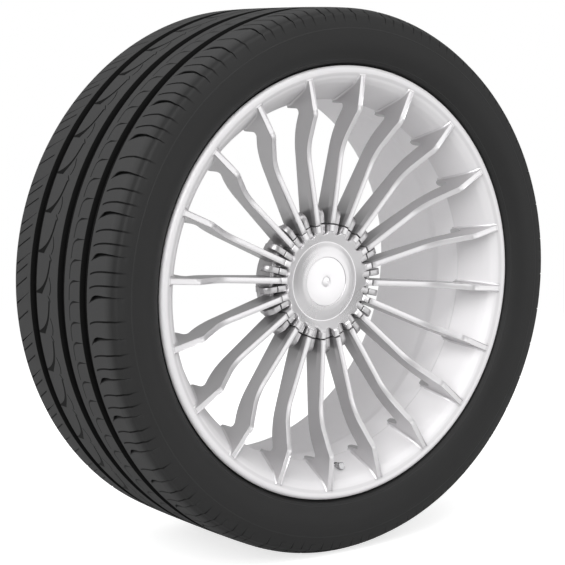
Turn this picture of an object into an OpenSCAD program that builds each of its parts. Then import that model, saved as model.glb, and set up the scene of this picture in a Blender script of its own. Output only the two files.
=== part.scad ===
// Alloy car wheel with a low profile tyre, a toothed hub cover and a tyre valve.
// The wheel turns about Y. The outboard face looks along -Y and +Z is up.
// Inside outboard() the wheel's axis is Z, with z growing from the rim's centre
// plane towards the outboard face.

/* [Rim] */
// Diameter of the bead seats
rim_diameter = 508; // [500:1:516]
// Width between the two flanges
rim_width = 215.9; // [210:0.1:222]
// Height of a flange above its bead seat
flange_height = 17.5; // [16:0.1:19]
// Width of a flange
flange_width = 10.6; // [9:0.1:12]
// Wall of the barrel
barrel_wall = 6; // [5:0.1:7]
// Depth of the drop centre below the bead seat
well_depth = 18; // [16:0.5:20]
// Depth of the windows' outer edge below the bead seat
window_drop = 25; // [24:0.5:28]

/* [Blades] */
// Number of blades
blade_count = 20; // [18:1:20]
// Angle of the first blade above the horizontal
blade_phase = 12.5; // [0:0.5:18]
// Thickness of a blade
blade_thickness = 7.6; // [6:0.1:8.4]
// Radius at which the front edge kinks
knee_radius = 217; // [210:1:222]
// Distance of the kink and the tip behind the lip's plane
knee_drop = 1.2; // [0.8:0.1:3]
// Radius of the front edge's dip
dip_round = 72; // [66:1:80]
// Height of the front edge at the hub above the centre plane
blade_root_z = 82.4; // [80:0.2:84]
// Height of the lowest point of the dip above the centre plane
dip_z = 87.3; // [86:0.1:89]
// Radius of the lowest point of the dip
dip_radius = 149; // [145:1:152]
// Rounding where a blade's rear edge turns into the rim
blade_fillet = 5; // [3:0.5:7]

/* [Hub] */
// Distance of the mounting face from the rim's centre plane
wheel_offset = 30; // [27:0.5:33]
// Thickness of the hub between the mounting face and the bolt seats
hub_thickness = 22; // [20:0.5:24]
// Diameter of the centre bore
bore_diameter = 72.6; // [70:0.1:74]
// Diameter of the bolt circle
bolt_circle = 120; // [118:0.5:120]
// Number of bolt holes
bolt_count = 5; // [4:1:5]
// Diameter of a bolt hole
bolt_hole = 15; // [13:0.5:16]
// Diameter of a bolt's seat
bolt_seat = 25; // [23:0.5:26]
// Radius of the mounting pad
pad_radius = 76; // [74:0.5:78]
// Wall of the drum that holds the cover
drum_wall = 5.5; // [4:0.5:7]
// Height of the drum's rim above the bolt seats
drum_height = 14; // [10:0.5:16]
// Length of a stub outside the cover's joint
stub_length = 19; // [16:0.5:20]
// Rounding of a stub's outer shoulder
stub_round = 15; // [12:0.5:16]

/* [Tyre] */
// Section width of the tyre
tyre_width = 255; // [250:1:262]
// Height of the section as a percentage of its width
aspect = 35; // [34:0.5:37]
// Width of the tread
tread_width = 236; // [230:1:238]
// Drop of the tread from its middle to its edge
crown_drop = 2.4; // [1:0.1:4]
// Depth of the tread grooves
groove_depth = 7.5; // [5:0.5:8]
// Width of the straight grooves at the surface
groove_width = 14; // [11:0.5:16]
// Rubber under the grooves
tread_base = 9; // [8:0.5:11]
// Number of pattern pitches round the tyre
pitch_count = 44; // [36:2:48]
// Greatest width of a cut in the shoulders
cut_width = 4.2; // [3:0.2:5]
// Depth of the shoulder cuts
cut_depth = 5.6; // [4.5:0.1:6.5]

/* [Cover] */
// Radius of the joint between the blades and the cover
joint_radius = 73.2; // [73:0.1:74]
// Width of the joint
joint_gap = 0.9; // [0.6:0.1:1.2]
// Radius of the valley ring round the dome
valley_radius = 50; // [48:0.5:52]
// Height of the valley above the centre plane
valley_z = 74.2; // [73.4:0.1:75]
// Height of the dome above the valley
dome_height = 4; // [3:0.2:5]
// Radius of the cover's round body
body_radius = 64; // [63:0.5:65]
// Radius of the round pocket at a pad's inner end
pocket_radius = 6.2; // [5.6:0.1:6.4]
// Wall of the moulding
cover_wall = 2.6; // [2.2:0.1:3]
// Width of a pad between two teeth
pad_width = 7.6; // [6:0.2:8]
// Number of claws
claw_count = 8; // [6:1:10]
// Radius of the centre disc
disc_radius = 31; // [29:0.5:33]
// Thickness of the centre disc
disc_thickness = 2.2; // [1.6:0.1:2.6]

/* [Lock] */
// Radius of the lock barrel
lock_radius = 6; // [5:0.1:6.6]
// Length of the cam's lobes from the axis
cam_reach = 32; // [26:1:33]
// Thickness of the cam
cam_thickness = 2.4; // [2:0.1:3]

/* [Valve] */
// Angle of the valve round the wheel, from the horizontal
valve_angle = -87; // [-89:0.5:-84]
// Distance of the valve inside the bead seat's radius
valve_inset = 15.5; // [14:0.5:17]
// Tilt of the valve towards the wheel's axis
valve_tilt = 15; // [12:1:18]
// Radius of the valve hole
valve_hole = 5.65; // [5.4:0.05:6]
// Radius of the stem
stem_radius = 4; // [3.6:0.1:4.2]
// Length of the sensor housing round the wheel
sensor_length = 44; // [38:1:50]

/* [Hidden] */
$fn = 96;
e = 0.01;
fit = 0.1;
bead_play = 0.3;
disc_sink = 0.4;

// Radii and heights of the rim
seat_r = rim_diameter / 2;
half_w = rim_width / 2;
lip_z = half_w + flange_width;
lip_r = seat_r + flange_height;
well_r = seat_r - well_depth;
well_inner_r = well_r - barrel_wall;
barrel_r = seat_r - 5.5;
window_radius = seat_r - window_drop;
valve_radius = seat_r - valve_inset;
ledge_z = lip_z - 49;
flare_knee_r = seat_r - 9;
flare_knee_z = lip_z - 18.5;

// Heights of the hub, the drum and the cover's parts
seat_z = wheel_offset + hub_thickness;
drum_z = seat_z + drum_height;
drum_r = joint_radius + joint_gap + drum_wall;
socket_r = bore_diameter / 2 + 4.7;
socket_depth = 8;
cover_r = joint_radius - 0.4;
cover_floor_z = seat_z + 5.5;
cover_edge_z = cover_floor_z + cover_wall;
tooth_z = blade_root_z - 1;
body_top_z = tooth_z - 0.8;
pad_z = tooth_z - 6.5;
stub_z = pad_z;
dome_z = valley_z + dome_height;
disc_seat_z = dome_z - disc_thickness - disc_sink;
pocket_r0 = body_radius + 2;
pocket_sink = 0.5;
cavity_r = pocket_r0 - pocket_radius - cover_wall;
claw_r = socket_r - 0.3;
claw_wall = 2.4;
claw_foot_z = seat_z - socket_depth + 1.5;
cam_z = seat_z + 4.2;
shoulder = 1;
lock_spigot = lock_radius - 2;
lock_shoulder_z = disc_seat_z - 7;
spring_wire = 1.1;

// Tyre sizes
tyre_r = seat_r + tyre_width * aspect / 100;
side_z = tyre_width / 2;
tread_z = tread_width / 2;
edge_r = tyre_r - crown_drop;
belly_r = seat_r + 50;
cut_drift = 11;
cut_bow = 2.2;
wedge_lean = 0.51;

// Blade sizes
tip_z = lip_z - knee_drop;
tip_r = lip_r - 6.5;
dip_end = [dip_radius + dip_round * sin(34.6), dip_z + dip_round * (1 - cos(34.6))];
rear_round = 110;
rear_start = [170, 64.5];
rear_slopes = [9.8, 31];
rear_centre = rear_start + rear_round * [-sin(rear_slopes[0]), cos(rear_slopes[0])];
rear_end = rear_centre + rear_round * [sin(rear_slopes[1]), -cos(rear_slopes[1])];
fin_r = window_radius - 2.5;
rear_corner = [fin_r, rear_end[1] + (fin_r - rear_end[0]) * tan(rear_slopes[1])];
rear_corner_z = ledge_z - 6;

// Valve sizes, along the valve's own axis from the rim's surface
valve_z = ledge_z + (valve_radius - window_radius) * (flare_knee_z - ledge_z) / (flare_knee_r - window_radius);
seal_foot = -16;
seal_flange = 3;
seal_radius = 8;
stem_foot = -24;
stem_top = 7;
cap_wall = 0.9;
core_r = 1.9;
sensor_height = 14;
sensor_below = 6.5;

function arc(c, r, a0, a1, n = 8) =
    [for (i = [0:n]) c + r * [cos(a0 + (a1 - a0) * i / n), sin(a0 + (a1 - a0) * i / n)]];

module outboard() {
    rotate([90, 0, 0]) children();
}

module round_pattern(count, phase = 0) {
    for (i = [0:count - 1])
        rotate([0, 0, phase + i * 360 / count]) children();
}

// Round patch that fills the corner at p between the directions a and b
module corner_patch(p, a, b, r) {
    half = (b - a) / 2;
    reach = r / tan(half);
    centre = p + r / sin(half) * [cos(a + half), sin(a + half)];
    difference() {
        polygon([p, p + reach * [cos(a), sin(a)], centre, p + reach * [cos(b), sin(b)]]);
        translate(centre) circle(r);
    }
}

// Section of the rim in radius and height
module rim_section() {
    nose_r = lip_r - flange_width / 2;
    polygon([
        [nose_r, half_w], [seat_r + 3, half_w], [seat_r, half_w - 3],
        [seat_r - 1.6, half_w - 19], [seat_r - 0.4, half_w - 22], [seat_r - 2, half_w - 25],
        [seat_r - 8, half_w - 29], [well_r + 1.5, ledge_z - 6], [well_r, ledge_z - 10],
        [well_r, wheel_offset], [barrel_r - 2, 6], [barrel_r, -half_w + 40],
        [seat_r - 4, -half_w + 26], [seat_r - 0.4, -half_w + 22],
        [seat_r - 1.6, -half_w + 19], [seat_r, -half_w + 3], [seat_r + 3, -half_w],
        [nose_r, -half_w], [nose_r, -lip_z], [seat_r - 3, -lip_z],
        [seat_r - 6.5, -lip_z + 3], [barrel_r - barrel_wall, -half_w + 16],
        [barrel_r - 2 - barrel_wall, 3], [well_inner_r, wheel_offset - 3],
        [well_inner_r, ledge_z - 9], [window_radius, ledge_z - 8],
        [window_radius, ledge_z], [flare_knee_r, flare_knee_z],
        [seat_r - 4, lip_z - 10], [seat_r + 2, lip_z - 4],
        [seat_r + 8, lip_z - 1], [nose_r, lip_z]
    ]);
    for (side = [-1, 1])
        translate([nose_r, side * (half_w + flange_width / 2)]) circle(d = flange_width);
}

// Outline of a blade in radius and height, with its dip, knee, fin and rear edge
module blade_section() {
    root_r = joint_radius + joint_gap;
    difference() {
        polygon([
            [root_r, wheel_offset + 18], [root_r, blade_root_z], [dip_radius, dip_z], dip_end,
            [knee_radius, tip_z], [tip_r, tip_z], [tip_r + 1, tip_z - 3],
            [seat_r + 4, half_w + 2.5], [seat_r - 2.5, half_w - 5],
            [flare_knee_r + 4, flare_knee_z - 5], [window_radius + 5, rear_corner_z],
            [fin_r, rear_corner_z], rear_corner, rear_end, rear_start
        ]);
        translate([dip_radius, dip_z + dip_round]) circle(dip_round, $fn = 180);
    }
    intersection() {
        translate(rear_centre) circle(rear_round, $fn = 180);
        polygon([rear_start, rear_end,
                 [(rear_start[0] + rear_end[0]) / 2, rear_start[1] + 2]]);
    }
    corner_patch(rear_corner, rear_slopes[1] - 180, -90, blade_fillet);
}

module blade() {
    rotate([90, 0, 0])
        translate([0, 0, -blade_thickness / 2])
            linear_extrude(blade_thickness) blade_section();
}

// Short fin that stands on the drum between two blades, with a rounded shoulder
module stub() {
    start = joint_radius + joint_gap;
    end = start + stub_length;
    foot = seat_z - 4;
    rotate([90, 0, 0]) translate([0, 0, -pad_width / 2]) linear_extrude(pad_width) {
        polygon([
            [start, foot], [start, stub_z], [end - stub_round, stub_z],
            [end, stub_z - stub_round], [end - stub_round / 2, foot]
        ]);
        intersection() {
            translate([end - stub_round, stub_z - stub_round]) circle(stub_round);
            translate([end - stub_round, stub_z - stub_round]) square(stub_round + 1);
        }
    }
}

module hub_section() {
    bore_r = bore_diameter / 2;
    polygon([
        [bore_r + 1, wheel_offset], [pad_radius - 1, wheel_offset],
        [pad_radius, wheel_offset + 1], [drum_r, wheel_offset + 10], [drum_r, drum_z - 1],
        [drum_r - 1, drum_z], [joint_radius + joint_gap, drum_z],
        [joint_radius + joint_gap, seat_z + 1], [joint_radius + joint_gap - 1, seat_z],
        [socket_r, seat_z], [socket_r, seat_z - socket_depth],
        [bore_r, seat_z - socket_depth], [bore_r, wheel_offset + 1]
    ]);
}

// Bolt hole with a conical seat, and the relief pocket beside it on the rear
module bolt_hole_cut() {
    translate([bolt_circle / 2, 0, 0]) {
        translate([0, 0, wheel_offset - 1]) cylinder(d = bolt_hole, h = hub_thickness + 2);
        translate([0, 0, seat_z - 6]) cylinder(d1 = bolt_hole, d2 = bolt_seat, h = 6 + e);
    }
}

module relief_cut() {
    rotate([0, 0, 180 / bolt_count])
        translate([bolt_circle / 2 - 2, 0, wheel_offset - 1]) cylinder(r = 11, h = 10);
}

module at_valve() {
    rotate([0, 0, valve_angle])
        translate([valve_radius, 0, valve_z])
            rotate([0, -valve_tilt, 0]) children();
}

module wheel() {
    color("silver") outboard() difference() {
        union() {
            rotate_extrude($fn = 180) rim_section();
            rotate_extrude($fn = 120) hub_section();
            round_pattern(blade_count, blade_phase) blade();
            round_pattern(blade_count, blade_phase + 180 / blade_count) stub();
        }
        round_pattern(bolt_count, 90) bolt_hole_cut();
        round_pattern(bolt_count, 90) relief_cut();
        at_valve() {
            translate([0, 0, -40]) cylinder(r = valve_hole, h = 70);
            translate([0, 0, seal_foot - 14]) cylinder(r = seal_radius + 0.4, h = 14);
        }
    }
}

// Outer outline of the tyre's upper half section, from the bead's heel to the middle
function tyre_side() = let (
        low = [belly_r, side_z - 41],
        high = [belly_r, side_z - 60]
    ) concat(
        [[seat_r + 3 + bead_play, half_w - fit], [lip_r - flange_width / 2 + 2, half_w - fit],
         [lip_r + 2, half_w + 3.6], [lip_r + 4, half_w + 8]],
        [for (p = arc([0, 0], 41, 126, 90, 5)) [low[0] + p[0], low[1] + p[1]]],
        [for (p = arc([0, 0], 60, 84, 60, 5)) [high[0] + p[0], high[1] + p[1]]],
        [[edge_r - 4, tread_z - 5.5], [edge_r, tread_z - 12]]
    );

module tyre_section() {
    outer = tyre_side();
    inner_r = tyre_r - groove_depth - tread_base;
    polygon(concat(
        outer,
        [[tyre_r - crown_drop * 0.35, tread_z * 0.5], [tyre_r, 0],
         [tyre_r - crown_drop * 0.35, -tread_z * 0.5]],
        [for (i = [len(outer) - 1:-1:0]) [outer[i][0], -outer[i][1]]],
        [[seat_r + bead_play, -half_w + 3], [seat_r - 1.6 + bead_play, -half_w + 18.5],
         [seat_r + 3, -half_w + 20.5], [seat_r + 13, -half_w + 14], [belly_r - 14, -side_z + 15],
         [belly_r, -side_z + 11.5], [belly_r + 14, -side_z + 14],
         [inner_r - 4, -tread_z + 12], [inner_r, -tread_z + 26]],
        [[inner_r, tread_z - 26], [inner_r - 4, tread_z - 12],
         [belly_r + 14, side_z - 14], [belly_r, side_z - 11.5], [belly_r - 14, side_z - 15],
         [seat_r + 13, half_w - 14], [seat_r + 3, half_w - 20.5],
         [seat_r - 1.6 + bead_play, half_w - 18.5], [seat_r + bead_play, half_w - 3]]
    ));
}

// Straight groove with sloping walls, cut at height z
module groove_section(z, w) {
    slope = 1.6;
    polygon([
        [tyre_r + 1, z - w / 2 - slope / 4], [tyre_r + 1, z + w / 2 + slope / 4],
        [tyre_r - groove_depth, z + w / 2 - slope], [tyre_r - groove_depth, z - w / 2 + slope]
    ]);
}

// Heights of the straight grooves: two near the shoulders and one off the middle
groove_places = [tread_z * 0.525, tread_z * 0.085, -tread_z * 0.49];

// Disc whose edge runs from p to q with the sagitta sag
module arc_disc(p, q, sag) {
    chord = q - p;
    r = chord * chord / (8 * sag) + sag / 2;
    translate((p + q) / 2 + [-chord[1], chord[0]] / norm(chord) * (sag - r)) circle(r, $fn = 180);
}

// Flat outline in width and height, sunk into the tread along the radius
module tread_cut() {
    translate([tyre_r - cut_depth, 0, 0]) rotate([90, 0, 90])
        linear_extrude(cut_depth + 1) children();
}

// Crescent that fades out at the outboard edge of the tread
module crescent_cut() {
    start = [0, groove_places[0] + groove_width / 2 + 5];
    end = [-cut_drift, tread_z - 7];
    tread_cut() difference() {
        arc_disc(start, end, cut_bow + cut_width);
        arc_disc(start, end, cut_bow);
    }
}

// Slanted cut that widens towards the inboard edge of the tread
module wedge_cut() {
    start = groove_places[2] - groove_width / 2 - 3;
    end = -tread_z - 6;
    shift = (start - end) * wedge_lean;
    tread_cut() polygon([
        [-0.4, start], [0.4, start],
        [shift + cut_width / 2, end], [shift - cut_width / 2, end]
    ]);
}

module bead_wire_section(play) {
    translate([seat_r + 4 - play, half_w - 13 - play]) square([7 + 2 * play, 6 + 2 * play]);
}

module tyre() {
    color([0.16, 0.16, 0.16]) outboard() difference() {
        rotate_extrude($fn = 180) difference() {
            tyre_section();
            for (z = groove_places) groove_section(z, groove_width);
            for (side = [0, 1]) mirror([0, side]) bead_wire_section(fit / 2);
        }
        round_pattern(pitch_count) {
            crescent_cut();
            wedge_cut();
        }
    }
}

module bead_wire(side) {
    color("gray") outboard() mirror([0, 0, side])
        rotate_extrude($fn = 180) bead_wire_section(0);
}

module outboard_bead_wire() { bead_wire(0); }

module inboard_bead_wire() { bead_wire(1); }

// Skin, walls and edge of the cover in radius and height
module cover_section() {
    lock_tube = lock_radius + 0.05;
    valley = valley_radius;
    polygon([
        [lock_tube, disc_seat_z], [disc_radius + 0.1, disc_seat_z],
        [disc_radius + 0.1, dome_z], [disc_radius + 6, dome_z - dome_height * 0.16],
        [disc_radius + 12, dome_z - dome_height * 0.46], [valley - 1.5, valley_z + 0.4],
        [valley, valley_z], [valley + 1.5, valley_z + 0.5], [valley + 7, valley_z + 2.7],
        [body_radius - 0.6, body_top_z], [body_radius, body_top_z - 0.6],
        [body_radius, cover_edge_z], [cover_r + 1, cover_edge_z], [cover_r + 1, cover_floor_z],
        [cavity_r, cover_floor_z], [cavity_r, valley_z - 1], [valley, valley_z - cover_wall],
        [disc_radius + 12, disc_seat_z - cover_wall], [lock_tube, disc_seat_z - cover_wall]
    ]);
    polygon([
        [lock_tube - shoulder, cam_z + cam_thickness + 0.3],
        [lock_tube + 3, cam_z + cam_thickness + 0.3], [lock_tube + 3, disc_seat_z - 1],
        [lock_tube, disc_seat_z - 1], [lock_tube, lock_shoulder_z],
        [lock_tube - shoulder, lock_shoulder_z]
    ]);
    polygon([
        [claw_r - claw_wall - 0.6, claw_foot_z], [claw_r - 0.6, claw_foot_z],
        [claw_r, claw_foot_z + 0.6], [claw_r, disc_seat_z - 1.5],
        [claw_r - claw_wall, disc_seat_z - 1.5], [claw_r - claw_wall, claw_foot_z + 0.8],
        [claw_r - claw_wall - 0.6, claw_foot_z + 0.8]
    ]);
}

// Tooth that carries a blade's line on, and rises out of the body's edge
module tooth() {
    rotate([90, 0, 0]) translate([0, 0, -blade_thickness / 2])
        linear_extrude(blade_thickness)
            polygon([
                [body_radius - 2, cover_edge_z - 1], [body_radius - 2, body_top_z - 2],
                [body_radius + 0.4, tooth_z], [cover_r + 1, tooth_z], [cover_r + 1, cover_edge_z - 1]
            ]);
}

// Lower pad between two teeth, which runs out of its pocket's round end
module pad() {
    start = pocket_r0 - pocket_radius - 1;
    translate([start, -pad_width / 2, cover_edge_z - 1])
        cube([cover_r + 1 - start, pad_width, pad_z - cover_edge_z + 1]);
}

// The slots cut the ring wall below the skin into claws, and the pockets cut the
// body's slope between the teeth
module hub_cover() {
    color("silver") outboard() intersection() {
        union() {
            difference() {
                rotate_extrude($fn = 120) cover_section();
                round_pattern(blade_count, blade_phase + 180 / blade_count)
                    translate([pocket_r0, 0, cover_edge_z - pocket_sink])
                        cylinder(r = pocket_radius, h = 30, $fn = 48);
                round_pattern(claw_count)
                    translate([claw_r - claw_wall - 2, -3, claw_foot_z - 1])
                        cube([claw_wall + 4, 6, socket_depth + 2.5]);
            }
            round_pattern(blade_count, blade_phase) tooth();
            round_pattern(blade_count, blade_phase + 180 / blade_count) pad();
        }
        translate([0, 0, seat_z - socket_depth]) cylinder(r = cover_r, h = 50, $fn = 120);
    }
}

module centre_disc() {
    color("whitesmoke") outboard() translate([0, 0, disc_seat_z]) difference() {
        cylinder(r = disc_radius, h = disc_thickness);
        translate([0, 0, -1]) cylinder(r = lock_radius + 0.25, h = disc_thickness + 2);
    }
}

module cover_spring() {
    color("dimgray") outboard()
        translate([0, 0, claw_foot_z + 1 + spring_wire])
            difference() {
                rotate_extrude() translate([claw_r - claw_wall - spring_wire - 0.1, 0])
                    circle(spring_wire, $fn = 24);
                rotate([0, 0, 180 / claw_count]) translate([0, -3, -spring_wire - 1])
                    cube([socket_r, 6, 2 * spring_wire + 2]);
            }
}

module lock_barrel() {
    foot_z = cam_z + cam_thickness + 0.05;
    head_z = lock_shoulder_z + 0.05;
    top_z = disc_seat_z + disc_thickness - 0.5;
    color("lightgray") outboard() difference() {
        union() {
            translate([0, 0, head_z]) cylinder(r = lock_radius, h = top_z - head_z);
            translate([0, 0, foot_z]) cylinder(r = lock_radius - shoulder, h = head_z - foot_z + 1);
            translate([0, 0, cam_z + 0.05]) cylinder(r = lock_spigot, h = cam_thickness + 1);
        }
        translate([-3, -0.6, top_z - 5]) cube([6, 1.2, 6]);
        translate([0, 0, cam_z - 1]) cylinder(r = 1.3, h = 9);
    }
}

module lock_cam() {
    color("darkgray") outboard() translate([0, 0, cam_z]) difference() {
        intersection() {
            cylinder(r = cam_reach, h = cam_thickness);
            union() {
                cylinder(r = lock_radius + 3, h = cam_thickness);
                translate([-cam_reach, -5, 0]) cube([2 * cam_reach, 10, cam_thickness]);
            }
        }
        translate([0, 0, -1]) cylinder(r = lock_spigot + 0.05, h = cam_thickness + 2);
    }
}

module lock_screw() {
    head_h = 2.2;
    color("gray") outboard() translate([0, 0, cam_z - head_h]) {
        difference() {
            cylinder(r = lock_spigot + 1.4, h = head_h);
            translate([0, 0, -1]) cylinder(r = 1.8, h = head_h, $fn = 6);
        }
        translate([0, 0, head_h - e]) cylinder(r = 1.25, h = 6);
    }
}

module valve_stem() {
    color("silver") outboard() at_valve() difference() {
        union() {
            translate([0, 0, stem_foot]) cylinder(r = stem_radius, h = stem_top - stem_foot);
            translate([0, 0, seal_foot - seal_flange - 2]) cylinder(r = stem_radius + 2, h = 1.9);
        }
        translate([0, 0, stem_foot - 1]) cylinder(r = 1.2, h = stem_top - stem_foot + 2);
        translate([0, 0, stem_top - 16]) cylinder(r = core_r + 0.05, h = 17);
        translate([0, 0, stem_foot - 1]) cylinder(r = 1.55, h = 6);
    }
}

module valve_seal() {
    color("black") outboard() at_valve() difference() {
        union() {
            translate([0, 0, seal_foot - seal_flange]) cylinder(r = seal_radius, h = seal_flange);
            translate([0, 0, seal_foot - 1]) cylinder(r = valve_hole - 0.05, h = 13);
        }
        translate([0, 0, -40]) cylinder(r = stem_radius + 0.05, h = 60);
    }
}

module valve_core() {
    color("goldenrod") outboard() at_valve() difference() {
        translate([0, 0, stem_top - 15.9]) cylinder(r = core_r, h = 15);
        translate([0, 0, stem_top - 17]) cylinder(r = 0.85, h = 20);
    }
}

module core_pin() {
    color("goldenrod") outboard() at_valve()
        translate([0, 0, stem_top - 15]) cylinder(r = 0.78, h = 14.6);
}

module valve_cap() {
    cap_r = stem_radius + 0.1 + cap_wall;
    color("gainsboro") outboard() at_valve() difference() {
        union() {
            translate([0, 0, stem_top - 9]) cylinder(r = cap_r, h = 9.6);
            translate([0, 0, stem_top + 0.6]) cylinder(r1 = cap_r, r2 = cap_r - 0.9, h = 0.9);
        }
        translate([0, 0, stem_top - 10]) cylinder(r = stem_radius + 0.06, h = 10.6);
    }
}

module cap_gasket() {
    color("black") outboard() at_valve() translate([0, 0, stem_top + 0.02]) difference() {
        cylinder(r = stem_radius, h = 0.56);
        translate([0, 0, -1]) cylinder(r = 1.5, h = 3);
    }
}

module sensor_body() {
    depth = 26;
    round = 3;
    color([0.12, 0.12, 0.13]) outboard() at_valve() difference() {
        translate([-sensor_below, 0, stem_foot - 0.05 - depth / 2]) hull() {
            for (y = [-1, 1], z = [-1, 1])
                translate([0, y * (sensor_length / 2 - round), z * (depth / 2 - round)])
                    rotate([0, 90, 0]) cylinder(r = round, h = sensor_height, $fn = 32);
        }
        translate([0, 0, stem_foot - 8]) cylinder(r = 1.6, h = 9);
    }
}

module sensor_screw() {
    color("silver") outboard() at_valve()
        translate([0, 0, stem_foot - 7.5]) cylinder(r = 1.5, h = 12);
}

tyre();
outboard_bead_wire();
inboard_bead_wire();
wheel();
hub_cover();
centre_disc();
cover_spring();
lock_barrel();
lock_cam();
lock_screw();
valve_stem();
valve_seal();
valve_core();
core_pin();
valve_cap();
cap_gasket();
sensor_body();
sensor_screw();
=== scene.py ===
"""Looks of a low profile tyre on a cast alloy wheel with a toothed hub cover.

Shapes are worked out in the wheel's own coordinates: a radius and a height in
millimetres, with the height growing towards the outboard face, and an angle in
radians from +X towards +Z. polar() and planar() carry them into the frame.
"""

import logging
import math
from dataclasses import dataclass, field
from enum import Enum

import bpy
import numpy as np
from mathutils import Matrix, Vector


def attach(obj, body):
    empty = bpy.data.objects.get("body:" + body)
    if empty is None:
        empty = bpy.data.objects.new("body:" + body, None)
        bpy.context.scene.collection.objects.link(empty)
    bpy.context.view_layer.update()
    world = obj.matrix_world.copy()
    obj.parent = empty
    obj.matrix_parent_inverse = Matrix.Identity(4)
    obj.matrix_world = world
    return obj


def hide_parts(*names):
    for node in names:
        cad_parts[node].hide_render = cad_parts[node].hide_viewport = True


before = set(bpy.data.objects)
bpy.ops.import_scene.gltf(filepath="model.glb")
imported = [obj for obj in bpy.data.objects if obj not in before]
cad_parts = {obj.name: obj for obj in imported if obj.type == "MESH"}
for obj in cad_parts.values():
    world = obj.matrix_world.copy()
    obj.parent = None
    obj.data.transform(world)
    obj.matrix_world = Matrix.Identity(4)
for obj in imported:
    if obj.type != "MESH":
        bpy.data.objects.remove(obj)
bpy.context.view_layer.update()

log = logging.getLogger("wheel")
Array = np.ndarray
MM = 0.001
TURN = 2.0 * math.pi


# Coordinates and curves


def polar(radius: Array, angle: Array, height: Array) -> Array:
    """Carries wheel coordinates into the frame.

    The point is (R cos a, -h, R sin a), scaled from millimetres to metres.

    Args:
        radius: distance from the wheel's axis.
        angle: angle from +X towards +Z.
        height: distance from the centre plane towards the outboard face.

    Returns:
        Points with a last axis of length three.
    """
    radius, angle, height = np.broadcast_arrays(radius, angle, height)
    return np.stack([radius * np.cos(angle), -height, radius * np.sin(angle)], axis=-1) * MM


def planar(out: Array, across: Array, height: Array, turn: float) -> Array:
    """Carries flat coordinates, turned round the axis, into the frame.

    Args:
        out: distance from the axis along the turned direction.
        across: distance sideways from that direction.
        height: distance from the centre plane towards the outboard face.
        turn: angle of the direction.

    Returns:
        Points with a last axis of length three.
    """
    out, across, height = np.broadcast_arrays(out, across, height)
    c, s = math.cos(turn), math.sin(turn)
    return np.stack([out * c - across * s, -height, out * s + across * c], axis=-1) * MM


def rounded(corners: list[tuple[float, float, float]], steps: int = 5, closed: bool = False) -> Array:
    """Rounds the corners of a path with arcs that touch both sides.

    At a corner with half angle q, an arc of radius r starts r / tan q from the
    corner and bulges from its chord by the circle's own sagitta.

    Args:
        corners: x, y and the corner's radius.
        steps: number of chords in an arc.
        closed: whether the last corner joins the first.

    Returns:
        Points of the path, one row each.
    """
    data = np.array(corners, float)
    points, radii = data[:, :2], data[:, 2]
    count, path = len(points), []
    for i, (here, radius) in enumerate(zip(points, radii)):
        inner = closed or 0 < i < count - 1
        if not inner or radius <= 0:
            path.append(here[None])
            continue
        to_last = points[i - 1] - here
        to_next = points[(i + 1) % count] - here
        room = min(np.linalg.norm(to_last), np.linalg.norm(to_next)) * 0.49
        to_last, to_next = to_last / np.linalg.norm(to_last), to_next / np.linalg.norm(to_next)
        half = math.acos(np.clip(np.dot(to_last, to_next), -1, 1)) / 2
        if half > math.pi / 2 - 0.01:
            path.append(here[None])
            continue
        reach = min(radius / math.tan(half), room)
        radius = reach * math.tan(half)
        middle = (to_last + to_next) / np.linalg.norm(to_last + to_next)
        centre = here + middle * radius / math.sin(half)
        first, last = here + to_last * reach - centre, here + to_next * reach - centre
        start = math.atan2(first[1], first[0])
        sweep = (math.atan2(last[1], last[0]) - start + math.pi) % TURN - math.pi
        angles = start + sweep * np.linspace(0, 1, steps + 1)
        path.append(centre + radius * np.stack([np.cos(angles), np.sin(angles)], axis=1))
    return np.concatenate(path)


def resampled(path: Array, count: int) -> Array:
    """Spreads points evenly by length along a path.

    Args:
        path: points, one row each.
        count: number of points wanted.

    Returns:
        The new points, with the path's ends kept.
    """
    steps = np.linalg.norm(np.diff(path, axis=0), axis=1)
    along = np.concatenate([[0], np.cumsum(steps)])
    places = np.linspace(0, along[-1], count)
    return np.stack([np.interp(places, along, path[:, k]) for k in range(path.shape[1])], axis=1)


def smooth_path(points: Array, steps: int) -> Array:
    """Draws a Catmull-Rom curve through points.

    Each span is the cubic whose end slopes are half the chord between the
    neighbours on either side.

    Args:
        points: points to pass through, one row each.
        steps: number of chords between two of them.

    Returns:
        Points of the curve.
    """
    padded = np.concatenate([2 * points[:1] - points[1:2], points, 2 * points[-1:] - points[-2:-1]])
    t = np.linspace(0, 1, steps, endpoint=False)[:, None]
    a, b, c, d = (padded[i : len(padded) - 3 + i, None] for i in range(4))
    span = 0.5 * (2 * b + (c - a) * t + (2 * a - 5 * b + 4 * c - d) * t**2 + (3 * b - a - 3 * c + d) * t**3)
    return np.concatenate([span.reshape(-1, points.shape[1]), points[-1:]])


def along_path(path: Array, shares: Array, steps: int) -> Array:
    """Finds points by their share of a path's length.

    Args:
        path: points, one row each.
        shares: the shares wanted, from 0 to 1.
        steps: number of even points that the path is first made of.

    Returns:
        The points found.
    """
    even, places = resampled(path, steps), np.linspace(0, 1, steps)
    return np.stack([np.interp(shares, places, even[:, k]) for k in range(2)], axis=1)


def levels(outlines: list[tuple[Array, float]], turn: float) -> Array:
    """Stacks flat outlines at their heights into rings of points, turned round the axis."""
    return np.stack([planar(flat[:, 0], flat[:, 1], np.array(z), turn) for flat, z in outlines])


# Meshes


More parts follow.
